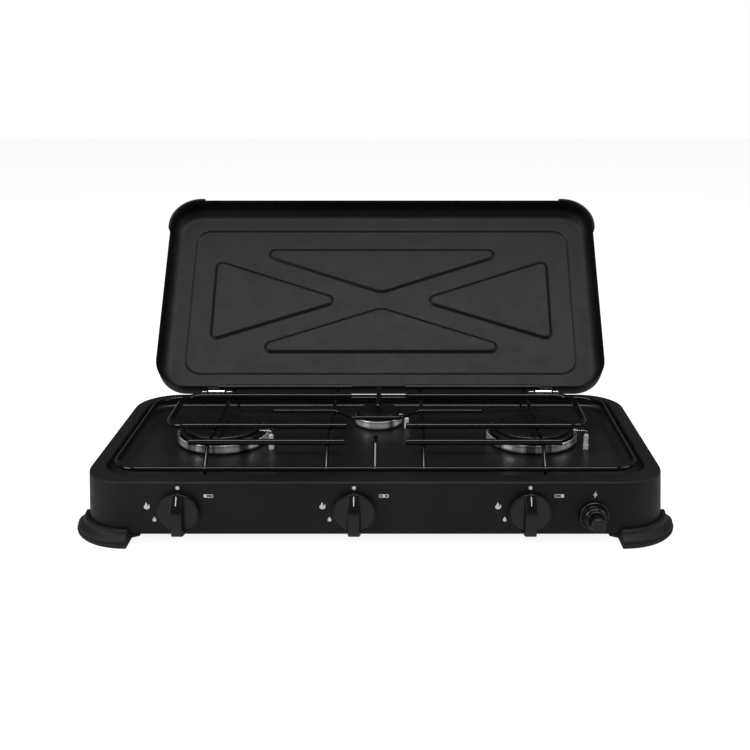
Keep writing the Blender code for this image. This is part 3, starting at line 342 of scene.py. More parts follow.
def ink_disc(mesh, x, z, radius):
    spot = bmesh.ops.create_circle(mesh, cap_ends=True, radius=radius, segments=28)
    turn = facing_front(x, FRONT_WALL - INK_RISE, z)
    bmesh.ops.transform(mesh, matrix=turn, verts=spot["verts"])


def ink_cell(mesh, x, z, wide, high, line):
    """A rounded cell of ink, solid or, given a line's width, with an open middle."""
    corner = high * 0.34
    face = rounded_outline(mesh, wide / 2, -high / 2, high / 2, corner, 0, 4)
    verts = set(face.verts)
    if line:
        inner = bmesh.ops.inset_region(mesh, faces=[face], thickness=line, use_boundary=True)
        verts |= {vert for part in inner["faces"] + [face] for vert in part.verts}
        bmesh.ops.delete(mesh, geom=[face], context="FACES_ONLY")
    turn = facing_front(x, FRONT_WALL - INK_RISE, z)
    bmesh.ops.transform(mesh, matrix=turn, verts=list(verts))


FLAME = (
    (0, -0.50), (0.20, -0.46), (0.34, -0.32), (0.39, -0.12), (0.36, 0.06), (0.30, 0.22),
    (0.19, -0.02), (0.08, -0.10), (0.10, 0.16), (0.02, 0.34), (-0.12, 0.52), (-0.12, 0.34),
    (-0.19, 0.15), (-0.33, -0.01), (-0.40, -0.18), (-0.34, -0.36), (-0.20, -0.47),
)
DROP = (
    (0, -0.50), (0.30, -0.46), (0.46, -0.28), (0.44, -0.08), (0.24, 0.16), (0.02, 0.50),
    (-0.14, 0.26), (-0.38, 0.02), (-0.47, -0.20), (-0.36, -0.42),
)


def make_printing():
    dot_radius = 2.2 * MM
    cell_wide, cell_high, cell_line = 3.9 * MM, 4.0 * MM, 0.75 * MM
    row_out, row_shift, cell_pitch = 33.5, 0.8, 3.3
    mesh = bmesh.new()
    for number, (x, z) in enumerate(KNOB_PLACES.values()):
        ink_disc(mesh, x, HOUSING_TOP - 6.6 * MM, dot_radius)
        large = [(a * 8.6, b * 8.6) for a, b in FLAME]
        small = [(a * 4.6, b * 6.0) for a, b in DROP]
        ink_shape(mesh, large, x - 35 * MM, z + 7 * MM)
        ink_shape(mesh, small, x - 27.5 * MM, z - 9 * MM)
        for place in range(3):
            line = 0 if place == number else cell_line
            cell_x = x + (row_out - number * row_shift + (place - 1) * cell_pitch) * MM
            ink_cell(mesh, cell_x, z + 18.5 * MM, cell_wide, cell_high, line)
    bolt = ((0.8, 4.4), (-2.6, -0.5), (-0.5, -0.3), (-1.3, -4.2), (2.5, 0.9), (0.4, 0.6))
    ink_shape(mesh, bolt, 243.1 * MM, HOUSING_TOP - 14.8 * MM)
    ink = coating("white_ink", (0.86, 0.86, 0.85), 0.5, 2500, 0.02 * MM, tone=0.08)
    finish_piece("printed_signs", mesh, ink, "casing")


make_printing()


# ---------------------------------------------------------------- spill tray
# The hob's floor is a shallow pan of enamelled sheet steel, hung under the casing's lip. Its
# wall meets the floor in a small round, and the burner cups stand on it.
tray_low, tray_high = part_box("hob_tray")
TRAY_FLOOR = tray_low[2] + 0.8 * MM
BURNERS = {}
for burner_name in ("left", "centre", "right"):
    cup_low, cup_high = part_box(f"burner_cup_{burner_name}")
    BURNERS[burner_name] = (
        (cup_low[0] + cup_high[0]) / 2, (cup_low[1] + cup_high[1]) / 2,
        (cup_high[0] - cup_low[0]) / 2, cup_high[2],
    )


def make_tray():
    wall = 1.5 * MM
    sheet = 0.8 * MM
    fillet = 5 * MM
    flange = wall + 8 * MM
    top = tray_high[2]
    mesh = bmesh.new()
    rows = [opening_outline(mesh, wall - fillet, TRAY_FLOOR)]
    for inset, up in reversed(quarter_round(fillet, 8)[:-1]):
        rows.append(opening_outline(mesh, wall - inset, TRAY_FLOOR + up))
    for grow, height in (
        (wall, top - 1 * MM), (wall + 1 * MM, top), (flange, top), (flange, top - sheet),
        (wall + sheet + 1 * MM, top - sheet),
    ):
        rows.append(opening_outline(mesh, grow, height))
    for inset, down in quarter_round(5.8 * MM, 6):
        rows.append(opening_outline(mesh, wall + sheet - inset, tray_low[2] + down))
    bridge_outlines(mesh, rows, keep_ends=True)
    finish_piece("spill_tray", mesh, tray_enamel, "casing", "hob_tray", sharp=50)


tray_enamel = coating(
    "tray_enamel", (0.0070, 0.0074, 0.0080), 0.38, 700, 0.10 * MM, spread=0.07, dust=0.0015,
)
make_tray()


# ---------------------------------------------------------------- feet
# Four moulded rubber bumpers, each wrapped a quarter turn round a corner. A lip grips the
# wall, a groove runs over the broad sole, and a thin tab under the casing takes a screw. Its
# two ends draw in over short steps, each a length with the shares of drop and of rise kept.
FOOT_WALL = HOUSING_RADIUS + 0.3 * MM
FOOT_SEAT = 11.7 * MM
FOOT_TAPERS = (
    (2.2 * MM, 0.55, 0.35), (1.4 * MM, 0.6, 0.05), (10 * MM, 0.35, 1.0),
)
FOOT_SECTION = (
    (-22, 0.4), (-21.4, 0.0), (11.4, 0.0), (13.4, 0.7), (14.6, 2.2), (14.9, 4.2), (14.5, 5.2),
    (13.3, 5.7), (13.1, 6.3), (13.7, 7.0), (13.6, 8.4), (12.6, 9.6), (10.0, 11.4),
    (7.4, 13.2), (5.9, 14.9), (5.5, 16.6), (5.4, 18.0), (4.6, 18.8), (3.2, 19.0),
    (0.9, 19.0), (0.3, 18.4), (0.3, 11.7), (-22, 11.7),
)


def sweep_corner(mesh, wall, section, steps):
    """Turn an (out, up) section a quarter round a corner; gives the two end faces."""
    corners = [mesh.verts.new((wall + out * MM, 0, up * MM)) for out, up in section]
    start = mesh.faces.new(corners)
    swept = bmesh.ops.spin(
        mesh, geom=[start] + list(start.edges) + corners, cent=(0, 0, 0), axis=(0, 0, 1),
        angle=math.pi / 2, steps=steps, use_merge=False,
    )
    far = [item for item in swept["geom_last"] if isinstance(item, bmesh.types.BMFace)][0]
    near = [face for face in mesh.faces if len(face.verts) == len(corners) and face is not far]
    return near[0], far


def grow_end(mesh, face, step):
    """Run an end face on by a step and drop the old one; gives the new face and its corners."""
    grown = bmesh.ops.extrude_face_region(mesh, geom=[face])["geom"]
    verts = [item for item in grown if isinstance(item, bmesh.types.BMVert)]
    bmesh.ops.delete(mesh, geom=[face], context="FACES_ONLY")
    bmesh.ops.translate(mesh, verts=verts, vec=step)
    return [item for item in grown if isinstance(item, bmesh.types.BMFace)][0], verts


def make_foot(name, x, y, start):
    mesh = bmesh.new()
    near, far = sweep_corner(mesh, HOUSING_RADIUS, FOOT_SECTION, 28)
    for face, way, side in ((near, Vector((0, -1, 0)), 0), (far, Vector((-1, 0, 0)), 1)):
        for along, low, thin in FOOT_TAPERS:
            face, verts = grow_end(mesh, face, way * along)
            for vert in verts:
                beyond = vert.co[side] - FOOT_WALL
                if beyond > 0:
                    vert.co[side] = FOOT_WALL + beyond * thin
                if vert.co.z > FOOT_SEAT:
                    vert.co.z = FOOT_SEAT + (vert.co.z - FOOT_SEAT) * thin
                else:
                    vert.co.z = FOOT_SEAT - (FOOT_SEAT - vert.co.z) * low
    turn = Matrix.Translation((x, y, 0)) @ Matrix.Rotation(math.radians(start), 4, "Z")
    finish_piece(f"bumper_{name}", mesh, foot_rubber, "casing", f"foot_{name}", at=turn)


foot_rubber = coating(
    "foot_rubber", (0.0110, 0.0110, 0.0115), 0.56, 1900, 0.10 * MM, spread=0.05, dust=0.002,
    gloss=0.3,
)
foot_x = HOUSING_HALF + HOUSING_FLARE - HOUSING_RADIUS
foot_y = (REAR_WALL - FRONT_WALL) / 2 - HOUSING_RADIUS
make_foot("front_left", -foot_x, middle_y - foot_y, 180)
make_foot("front_right", foot_x, middle_y - foot_y, 270)
make_foot("rear_left", -foot_x, middle_y + foot_y, 90)
make_foot("rear_right", foot_x, middle_y + foot_y, 0)
zinc = coating(
    "bright_zinc", (0.60, 0.60, 0.61), 0.26, 1400, 0.02 * MM, metallic=1.0, tone=0.12,
)
for corner in ("front_left", "front_right", "rear_left", "rear_right"):
    coat_node(f"foot_screw_{corner}", zinc)


# ---------------------------------------------------------------- lid
# A shallow pressed steel lid, hinged along the back. A round-cornered panel is set out of
# its flat top, and four rounded triangles are set back in, which leaves a cross between them.
joints = {joint["name"]: joint for joint in frame["record"]["behaviour"]["joints"]}
LID_AXIS = Vector(joints["lid_hinge"]["pos_m"])
LID_SWING = math.radians(132)
LID_OPEN = Matrix.Translation(LID_AXIS) @ Matrix.Rotation(-LID_SWING, 4, "X")
LID_HALF = 315.25 * MM
LID_NEAR = FRONT_WALL + 9.75 * MM - LID_AXIS.y
LID_FAR = -8 * MM
LID_RIM = HOUSING_TOP + 0.8 * MM - LID_AXIS.z
LID_TOP = LID_RIM + 34 * MM
LID_RADIUS = 43 * MM
LID_ROUNDING = 9 * MM
LID_INNER_ROUNDING = 15 * MM
LID_SHEET = 1.0 * MM
PRESS_DEPTH = 2.2 * MM
PANEL_INSET = 35 * MM
PANEL_RADIUS = 22 * MM
PANEL_SLOPE = 3.0 * MM
TRIANGLE_DEPTH = 3.3 * MM
TRIANGLE_SLOPE = 3.4 * MM
TRIANGLE_RADIUS = 8 * MM
TRIANGLES = (
    (((-206, -87), (206, -87), (0, -13)), 24 * MM),
    (((-206, 85), (206, 85), (0, 13)), 24 * MM),
    (((-247, 66), (-247, -68), (-56, 0)), 8 * MM),
    (((247, 66), (247, -68), (56, 0)), 8 * MM),
)
OUTER_GRID = (200, 94)
INNER_GRID = (380, 180)


def lid_outline(mesh, inset, height):
    return rounded_outline(
        mesh, LID_HALF - inset, LID_NEAR + inset, LID_FAR - inset, LID_RADIUS - inset, height,
    )


def distance_to_box(x, y, half_x, half_y, radius):
    """Signed distance to a rounded rectangle about the origin, below zero inside."""
    over_x = np.abs(x) - (half_x - radius)
    over_y = np.abs(y) - (half_y - radius)
    outside = np.hypot(np.maximum(over_x, 0), np.maximum(over_y, 0))
    return outside + np.minimum(np.maximum(over_x, over_y), 0) - radius


def distance_to_triangle(x, y, corners, radius):
    """Signed distance to a triangle whose corners are rounded, below zero inside."""
    corners = [np.array(corner, float) for corner in corners]
    inner = []
    for number, corner in enumerate(corners):
        one = corners[number - 1] - corner
        two = corners[(number + 1) % 3] - corner
        one /= np.hypot(*one)
        two /= np.hypot(*two)
        half = math.acos(float(one @ two)) / 2
        way = (one + two) / np.hypot(*(one + two))
        inner.append(corner + way * radius / math.sin(half))
    near = np.full(x.shape, 1e9)
    within = np.ones(x.shape, bool)
    centre = sum(inner) / 3
    for number, first in enumerate(inner):
        along = inner[(number + 1) % 3] - first
        out = np.array((along[1], -along[0])) / np.hypot(*along)
        if out @ (centre - first) > 0:
            out = -out
        share = (x - first[0]) * along[0] + (y - first[1]) * along[1]
        share = np.clip(share / (along @ along), 0, 1)
        gap = np.hypot(x - first[0] - share * along[0], y - first[1] - share * along[1])
        near = np.minimum(near, gap)
        within &= (x - first[0]) * out[0] + (y - first[1]) * out[1] < 0
    return np.where(within, -near, near) - radius


def soft_step(distance, width):
    """One inside, nought outside, over a smooth slope of the width."""
    share = np.clip(0.5 - distance / width, 0, 1)
    return share * share * (3 - 2 * share)


def pressing(x, y):
    """Height of the lid's top over its flat border, at places about the lid's middle."""
    middle = (LID_NEAR + LID_FAR) / 2
    half_y = (LID_FAR - LID_NEAR) / 2
    y = y - middle
    panel = distance_to_box(x, y, LID_HALF - PANEL_INSET, half_y - PANEL_INSET, PANEL_RADIUS)
    height = PRESS_DEPTH * soft_step(panel, PANEL_SLOPE)
    past_base = 1.6
    for corners, tip_radius in TRIANGLES:
        corners = np.array(corners) * MM
        wider = corners[2] + (corners - corners[2]) * past_base
        inside = np.maximum(
            distance_to_triangle(x, y, corners, TRIANGLE_RADIUS),
            distance_to_triangle(x, y, wider, tip_radius),
        )
        height = height - TRIANGLE_DEPTH * soft_step(inside, TRIANGLE_SLOPE)
    return height


def make_lid():
    border = LID_TOP - PRESS_DEPTH
    flat = LID_INNER_ROUNDING + 3 * MM
    lip = 0.4 * MM
    mesh = bmesh.new()
    rows = [lid_outline(mesh, flat, border)]
    for inset, down in reversed(quarter_round(LID_ROUNDING, 10)):
        rows.append(lid_outline(mesh, inset, border - down))
    for inset, up in ((0, lip), (LID_SHEET / 2, 0), (LID_SHEET, lip)):
        rows.append(lid_outline(mesh, inset, LID_RIM + up))
    for inset, down in quarter_round(LID_INNER_ROUNDING, 12):
        rows.append(lid_outline(mesh, LID_SHEET + inset, border - LID_SHEET - down))
    rows.append(lid_outline(mesh, flat, border - LID_SHEET))
    bridge_outlines(mesh, rows)
    half_x = LID_HALF - flat
    front = LID_NEAR + flat
    rear = LID_FAR - flat
    radius = LID_RADIUS - flat
    middle = (front + rear) / 2
    half_y = (rear - front) / 2
    for drop, (across, deep) in ((0, OUTER_GRID), (LID_SHEET, INNER_GRID)):
        grid = bmesh.ops.create_grid(mesh, x_segments=across, y_segments=deep, size=0.5)
        verts = grid["verts"]
        bmesh.ops.scale(mesh, verts=verts, vec=(half_x * 2, rear - front, 1))
        bmesh.ops.translate(mesh, verts=verts, vec=(0, middle, border - drop))
        x = np.array([vert.co.x for vert in verts])
        y = np.array([vert.co.y for vert in verts])
        rise = pressing(x, y)
        beyond = set()
        for vert, up in zip(verts, rise):
            vert.co.z += up
            corner = Vector((
                abs(vert.co.x) - (half_x - radius),
                abs(vert.co.y - middle) - (half_y - radius),
            ))
            if min(corner) > 0 and corner.length > radius:
                beyond.add(vert)
                corner *= radius / corner.length
                vert.co.x = math.copysign(half_x - radius + corner.x, vert.co.x)
                reach = half_y - radius + corner.y
                vert.co.y = middle + math.copysign(reach, vert.co.y - middle)
        faces = {face for vert in verts for face in vert.link_faces}
        if drop:
            bmesh.ops.reverse_faces(mesh, faces=list(faces))
        folded = [face for face in faces if all(vert in beyond for vert in face.verts)]
        bmesh.ops.delete(mesh, geom=folded, context="FACES")
    bmesh.ops.dissolve_degenerate(mesh, edges=mesh.edges, dist=2e-6)
    bmesh.ops.transform(mesh, matrix=LID_OPEN, verts=mesh.verts)
    finish_piece("lid_shell", mesh, lid_black, "lid", "lid", sharp=60)


lid_black = coating(
    "lid_black", (0.0050, 0.0054, 0.0063), 0.46, 1500, 0.10 * MM, spread=0.04, dust=0.001,
    gloss=0.26,
)
make_lid()


# ---------------------------------------------------------------- lid corner guards
# A moulded rubber strip is pushed over each front corner of the lid. With the lid closed it
# hangs over the lid's edge, and each end runs a little way on along the straight.
GUARD_SECTION = (
    (0, 0.2), (0.3, 0), (2.2, 0), (2.9, 0.6), (3.0, 1.4), (3.0, 12.6), (2.7, 13.8),
    (1.6, 14.8), (0.6, 15.0), (0, 14.8),
)


def make_guard(name, side, start):
    mesh = bmesh.new()
    near, far = sweep_corner(mesh, LID_RADIUS + 0.3 * MM, GUARD_SECTION, 24)
    for end, way in ((near, Vector((0, -1, 0))), (far, Vector((-1, 0, 0)))):
        grow_end(mesh, end, way * 5 * MM)
    place = Matrix.Translation((side * (LID_HALF - LID_RADIUS), LID_NEAR + LID_RADIUS, LID_RIM))
    turn = LID_OPEN @ place @ Matrix.Rotation(math.radians(start), 4, "Z")
    finish_piece(f"corner_strip_{name}", mesh, foot_rubber, "lid", f"lid_corner_guard_{name}",
                 at=turn)


make_guard("left", -1, 180)
make_guard("right", 1, 270)


# ---------------------------------------------------------------- hinges
# A zinc-plated leaf riveted to the back of the casing rolls round a bright pin, and two ears
# from the lid's own painted leaf turn on it. The pin has a set head at one end.
for side in ("left", "right"):
    coat_node(f"hinge_base_leaf_{side}", zinc)
    coat_node(f"hinge_lid_leaf_{side}", lid_black)


def lathe(mesh, profile, steps=64):
    """Spin a (radius, height) profile, in metres, round the upright axis."""
    points = [mesh.verts.new((radius, 0, height)) for radius, height in profile]
    lines = [mesh.edges.new(pair) for pair in zip(points, points[1:])]
    bmesh.ops.spin(
        mesh, geom=points + lines, cent=(0, 0, 0), axis=(0, 0, 1), angle=math.tau,
        steps=steps, use_merge=True,
    )


def turned_piece(name, profile, steps, finish, body, node, at):
    mesh = bmesh.new()
    lathe(mesh, profile, steps)
    finish_piece(name, mesh, finish, body, node, at=at)


def make_pin(side):
    low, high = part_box(f"hinge_pin_{side}")
    length = high[0] - low[0]
    profile = (
        (0, 0), (1.1 * MM, 0), (1.6 * MM, 0.5 * MM), (1.6 * MM, length - 1.7 * MM),
        (2.5 * MM, length - 1.6 * MM), (2.6 * MM, length - 0.8 * MM), (2.0 * MM, length),
        (0, length),
    )
    place = Matrix.Translation((low[0], LID_AXIS.y, LID_AXIS.z))
    turn = place @ Matrix.Rotation(math.pi / 2, 4, "Y")
    turned_piece(f"pin_{side}", profile, 32, zinc, "casing", f"hinge_pin_{side}", turn)


make_pin("left")
make_pin("right")


# ---------------------------------------------------------------- pan support
# One grate of drawn steel wire, resistance welded where the wires cross and dipped in glossy
# black enamel, which fills each weld to a small bead. Its bars are thicker than its frame.
GRATE_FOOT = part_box("pan_support")[0][2]
EDGE_Z = HOUSING_TOP + 2 * MM
CROSS_Z = EDGE_Z + 19.4 * MM
EDGE_HALF = OPENING_HALF - 10 * MM
EDGE_FRONT = OPENING_FRONT + 10 * MM
EDGE_REAR = OPENING_REAR - 10 * MM
WIRE_EDGE = 3.0 * MM
WIRE_CROSS = 2.25 * MM
WIRE_BAR = 3.6 * MM
WIRE_FINGER = 2.6 * MM
WIRE_LEG = 1.6 * MM
SINK = 1.2 * MM
BAR_Z = CROSS_Z + WIRE_CROSS + 3.25 * MM - SINK - 0.4 * MM
FINGER_Z = CROSS_Z + WIRE_CROSS + WIRE_FINGER - SINK
CROSS_OUT = 192 * MM
CROSS_IN = 55 * MM
BAR_END = 213.5 * MM
BAR_START = 35 * MM
LOOP_OUT = 250 * MM
FINGER_END = 129.25 * MM
HIGH_FRONT = EDGE_FRONT + 25 * MM
HIGH_REAR = EDGE_REAR - 25 * MM
RING_Y = middle_y + 10.7 * MM


def bent_wire(points, radius, steps=8):
    """A line through the points with its corners bent to the radius."""
    points = [Vector(point) for point in points]
    path = [points[0]]
    for before, corner, after in zip(points, points[1:], points[2:]):
        come = (before - corner).normalized()
        leave = (after - corner).normalized()
        half = come.angle(leave) / 2
        cut = min(radius / math.tan(half), (before - corner).length * 0.49,
                  (after - corner).length * 0.49)
        centre = corner + (come + leave).normalized() * (cut / math.cos(half))
        first = corner + come * cut - centre
        turn = first.rotation_difference(corner + leave * cut - centre)
        for step in range(steps + 1):
            path.append(centre + Quaternion().slerp(turn, step / steps) @ first)
    path.append(points[-1])
    return path


def draw_wire(mesh, path, radius, closed=False, sides=18, tip=0.6 * MM):
    """Draw a round wire along a path: a circle is carried along it and bridged."""
    count = len(path)
    rings = []
    across = None
    before = None
    for number, point in enumerate(path):
        back = path[number - 1] if closed or number else point
        ahead = path[(number + 1) % count] if closed or number < count - 1 else point
        way = (ahead - back).normalized()
        if across is None:
            across = way.cross(Vector((0, 0, 1)) if abs(way.z) < 0.9 else Vector((1, 0, 0)))
        else:
            across = before.rotation_difference(way) @ across
        across.normalize()
        before = way
        frame_turn = Matrix((across, way.cross(across), way)).transposed().to_4x4()
        ends = [(point, radius)]
        if not closed and number == 0:
            ends = [(point, radius - tip), (point + way * tip, radius)]
        if not closed and number == count - 1:
            ends = [(point - way * tip, radius), (point, radius - tip)]
        for place, size in ends:
            ring = bmesh.ops.create_circle(
                mesh, cap_ends=False, radius=size, segments=sides,
                matrix=Matrix.Translation(place) @ frame_turn,
            )
            rings.append(list({edge for vert in ring["verts"] for edge in vert.link_edges}))
    pairs = list(zip(rings, rings[1:]))
    if closed:
        pairs.append((rings[-1], rings[0]))
    for low, high in pairs:
        bmesh.ops.bridge_loops(mesh, edges=low + high)
    if not closed:
        bmesh.ops.contextual_create(mesh, geom=rings[0])
        bmesh.ops.contextual_create(mesh, geom=rings[-1])


def weld_bead(mesh, place, size):
    """The enamel-filled weld where two wires cross: a low bead, longer across the stove."""
    bead = bmesh.ops.create_icosphere(mesh, subdivisions=3, radius=size)
    bmesh.ops.scale(mesh, verts=bead["verts"], vec=(1.35, 1.0, 0.8))
    bmesh.ops.translate(mesh, verts=bead["verts"], vec=place)


def make_pan_support():
    mesh = bmesh.new()
    edge = bmesh.new()
    outline = rounded_outline(
        edge, EDGE_HALF, EDGE_FRONT, EDGE_REAR, OPENING_RADIUS - 4 * MM, EDGE_Z, 16,
    )
    draw_wire(mesh, [vert.co.copy() for vert in outline.verts], WIRE_EDGE, closed=True)
    edge.free()
    inside = 0.6 * MM
    for x in (-CROSS_OUT, -CROSS_IN, CROSS_IN, CROSS_OUT):
        path = (
            (x, EDGE_FRONT + inside, EDGE_Z), (x, HIGH_FRONT, CROSS_Z),
            (x, HIGH_REAR, CROSS_Z), (x, EDGE_REAR - inside, EDGE_Z),
        )
        draw_wire(mesh, bent_wire(path, 9 * MM), WIRE_CROSS)
        for y in (EDGE_FRONT, EDGE_REAR):
            weld_bead(mesh, (x, y, EDGE_Z), WIRE_EDGE * 1.12)
    bead = WIRE_CROSS * 1.25
    bead_z = CROSS_Z + 1.6 * MM
    front_arm = RING_Y - 57 * MM
    rear_arm = RING_Y + 62 * MM
    for side in (-1, 1):
        outer = side * LOOP_OUT
        inner = side * BAR_START
        for y in (HIGH_FRONT, HIGH_REAR):
            path = [Vector((inner, y, BAR_Z)), Vector((side * BAR_END, y, BAR_Z))]
            draw_wire(mesh, path, WIRE_BAR)
        path = (
            (inner, front_arm, BAR_Z), (outer, front_arm, BAR_Z),
            (outer, rear_arm, BAR_Z), (inner, rear_arm, BAR_Z),
        )
        draw_wire(mesh, bent_wire(path, 24 * MM, 12), WIRE_BAR)
        for x in (side * CROSS_IN, side * CROSS_OUT):
            for y in (HIGH_FRONT, front_arm, rear_arm, HIGH_REAR):
                weld_bead(mesh, (x, y, bead_z), bead)
    path = (
        (-FINGER_END, RING_Y, FINGER_Z), (-49 * MM, RING_Y, FINGER_Z),
        (-27.5 * MM, RING_Y - 26 * MM, FINGER_Z), (27.5 * MM, RING_Y - 26 * MM, FINGER_Z),
        (49 * MM, RING_Y, FINGER_Z), (FINGER_END, RING_Y, FINGER_Z),
    )
    draw_wire(mesh, bent_wire(path, 12 * MM), WIRE_FINGER)
    for x in (-CROSS_IN, CROSS_IN):
        weld_bead(mesh, (x, RING_Y, bead_z), bead)
    rear_reach = BURNERS["centre"][1] - 46 * MM
    path = (
        (0, EDGE_REAR - inside, EDGE_Z), (0, HIGH_REAR, FINGER_Z), (0, rear_reach, FINGER_Z),
    )
    draw_wire(mesh, bent_wire(path, 8 * MM), WIRE_FINGER)
    path = (
        (0, EDGE_FRONT + inside, EDGE_Z), (0, HIGH_FRONT, FINGER_Z),
        (0, HIGH_FRONT + 17 * MM, FINGER_Z),
    )
    draw_wire(mesh, bent_wire(path, 8 * MM), WIRE_FINGER)
    for y in (EDGE_FRONT, EDGE_REAR):
        weld_bead(mesh, (0, y, EDGE_Z), WIRE_EDGE * 1.15)
        for x in (-CROSS_OUT, CROSS_OUT):
            path = [Vector((x, y, EDGE_Z)), Vector((x, y, GRATE_FOOT))]
            draw_wire(mesh, path, WIRE_LEG)
    finish_piece("wire_grate", mesh, grate_enamel, "pan_support", "pan_support", sharp=40)


grate_enamel = coating(
    "grate_enamel", (0.0015, 0.0016, 0.0018), 0.09, 260, 0.03 * MM, spread=0.03, gloss=0.5,
)
make_pan_support()


# ---------------------------------------------------------------- burners
# Each burner is a spun and chromed cup, a black cast port ring cut with slots all round, and
# a loose enamelled cap with a pressed crown that sits in the ring.
NECK_SHARE = 0.45


def quick_curve(points, steps=4):
    """A profile through the points, its inner corners eased into short arcs."""
    eased = [points[0]]
    for before, corner, after in zip(points, points[1:], points[2:]):
        a = Vector(before)
        b = Vector(corner)
        c = Vector(after)
        reach = min((a - b).length, (c - b).length, 1.2 * MM) * 0.45
        start = b + (a - b).normalized() * reach
        end = b + (c - b).normalized() * reach
        for step in range(steps + 1):
            share = step / steps
            bend = start.lerp(b, share).lerp(b.lerp(end, share), share)
            eased.append(tuple(bend))
    eased.append(points[-1])
    return eased


def make_cup(name, x, y, radius, top):
    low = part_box(f"burner_cup_{name}")[0]
    floor = TRAY_FLOOR + 0.3 * MM
    neck = radius * NECK_SHARE
    wall = 1.6 * MM
    profile = (
        (0, low[2]), (neck, low[2]), (neck, floor), (radius - 4 * MM, floor),
        (radius - 0.6 * MM, floor + 2.2 * MM), (radius, floor + 4.2 * MM),
        (radius - 0.7 * MM, top - 3.2 * MM), (radius - 0.1 * MM, top - 1.3 * MM),
        (radius - 0.5 * MM, top - 0.2 * MM), (radius - 1.1 * MM, top),
        (radius - wall, top - 0.6 * MM), (radius - wall - 0.2 * MM, floor + wall + 1.5 * MM),
        (radius - wall - 3 * MM, floor + wall), (neck - wall, floor + wall),
        (neck - wall, low[2] + wall), (0, low[2] + wall),
    )
    turned_piece(f"cup_{name}", quick_curve(profile), 96, cup_chrome, "casing",
                 f"burner_cup_{name}", Matrix.Translation((x, y, 0)))


def make_port_ring(name, x, y):
    low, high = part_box(f"burner_head_{name}")
    outer = (high[0] - low[0]) / 2
    wall = 3.0 * MM if name == "centre" else 7 * MM
    inner = outer - wall
    neck = BURNERS[name][2] * NECK_SHARE
    top = high[2]
    profile = (
        (neck, low[2]), (outer - 1 * MM, low[2]), (outer - 0.2 * MM, low[2] + 2 * MM),
        (outer - 0.2 * MM, top - 7 * MM), (outer, top - 6.4 * MM), (outer, top - 2.6 * MM),
        (outer - 0.8 * MM, top - 0.6 * MM), (outer - 1.6 * MM, top), (inner, top),
        (inner, low[2] + 2 * MM), (neck, low[2] + 2 * MM), (neck, low[2]),
    )
    slot_low, slot_high = top - 6.4 * MM, top - 2.6 * MM
    teeth = 36 if name == "centre" else 64
    mesh = bmesh.new()
    lathe(mesh, profile, teeth * 2)
    bmesh.ops.remove_doubles(mesh, verts=mesh.verts, dist=1e-6)
    slots = []
    for face in mesh.faces:
        middle = face.calc_center_median()
        reach = math.hypot(middle.x, middle.y)
        if reach < outer - 1.9 * MM or not slot_low < middle.z < slot_high:
            continue
        place = math.atan2(middle.y, middle.x) / math.tau * teeth * 2
        if int(math.floor(place)) % 2 == 0:
            slots.append(face)
    cut = bmesh.ops.extrude_discrete_faces(mesh, faces=slots)
    depth = min(wall - 1.6 * MM, 2.4 * MM)
    for face in cut["faces"]:
        middle = face.calc_center_median()
        inward = -Vector((middle.x, middle.y, 0)).normalized() * depth
        bmesh.ops.translate(mesh, verts=face.verts, vec=inward)
    turn = Matrix.Translation((x, y, 0))
    finish_piece(f"port_ring_{name}", mesh, burner_enamel, "casing", f"burner_head_{name}",
                 at=turn, sharp=32)


def make_cap(name, x, y):
    low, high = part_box(f"burner_cap_{name}")
    edge = (high[0] - low[0]) / 2
    seat = low[2] + 2.5 * MM
    top = high[2]
    profile = (
        (0, low[2]), (edge - 2.4 * MM, low[2]), (edge - 2.1 * MM, seat - 0.1 * MM),
        (edge - 0.5 * MM, seat), (edge, seat + 0.7 * MM), (edge, seat + 1.7 * MM),
        (edge - 0.9 * MM, seat + 2.6 * MM), (edge - 4.2 * MM, seat + 3.2 * MM),
        (edge * 0.72, seat + 3.35 * MM), (edge * 0.60, top - 0.25 * MM), (edge * 0.30, top),
        (2.6 * MM, top), (1.8 * MM, top - 0.35 * MM), (0, top - 0.4 * MM),
    )
    turned_piece(f"cap_{name}", quick_curve(profile), 96, burner_enamel, f"burner_cap_{name}",
                 f"burner_cap_{name}", Matrix.Translation((x, y, 0)))


cup_chrome = coating(
    "cup_chrome", (0.90, 0.90, 0.89), 0.20, 500, 0.02 * MM, spread=0.05, metallic=0.55,
    tone=0.10,
)
# The cup's base colour is replaced by upright bands, from dark grey to white, stretched up its
# wall: painted reflections of the room's light and dark in the chrome.
chrome_nodes = cup_chrome.node_tree.nodes
upright = chrome_nodes.new("ShaderNodeMapping")
upright.inputs["Scale"].default_value = (1, 1, 0.05)
painted_reflection_streak = chrome_nodes.new("ShaderNodeTexNoise")
painted_reflection_streak.inputs["Scale"].default_value = 62
painted_reflection_streak.inputs["Detail"].default_value = 4
painted_reflection_bands = chrome_nodes.new("ShaderNodeValToRGB")
painted_reflection_bands.color_ramp.elements[0].position = 0.37
painted_reflection_bands.color_ramp.elements[0].color = (0.12, 0.12, 0.12, 1)
painted_reflection_bands.color_ramp.elements[1].position = 0.53
painted_reflection_bands.color_ramp.elements[1].color = (1.0, 1.0, 0.99, 1)
for source, target in (
    (chrome_nodes["Texture Coordinate"].outputs["Object"], upright.inputs["Vector"]),
    (upright.outputs["Vector"], painted_reflection_streak.inputs["Vector"]),
    (painted_reflection_streak.outputs["Fac"], painted_reflection_bands.inputs["Fac"]),
    (painted_reflection_bands.outputs["Color"], chrome_nodes["Principled BSDF"].inputs["Base Color"]),
):
    cup_chrome.node_tree.links.new(source, target)
burner_enamel = coating(
    "burner_enamel", (0.0045, 0.0046, 0.0050), 0.28, 900, 0.06 * MM, spread=0.07,
)
for name, (x, y, radius, top) in BURNERS.items():
    make_cup(name, x, y, radius, top)
    make_port_ring(name, x, y)
    make_cap(name, x, y)


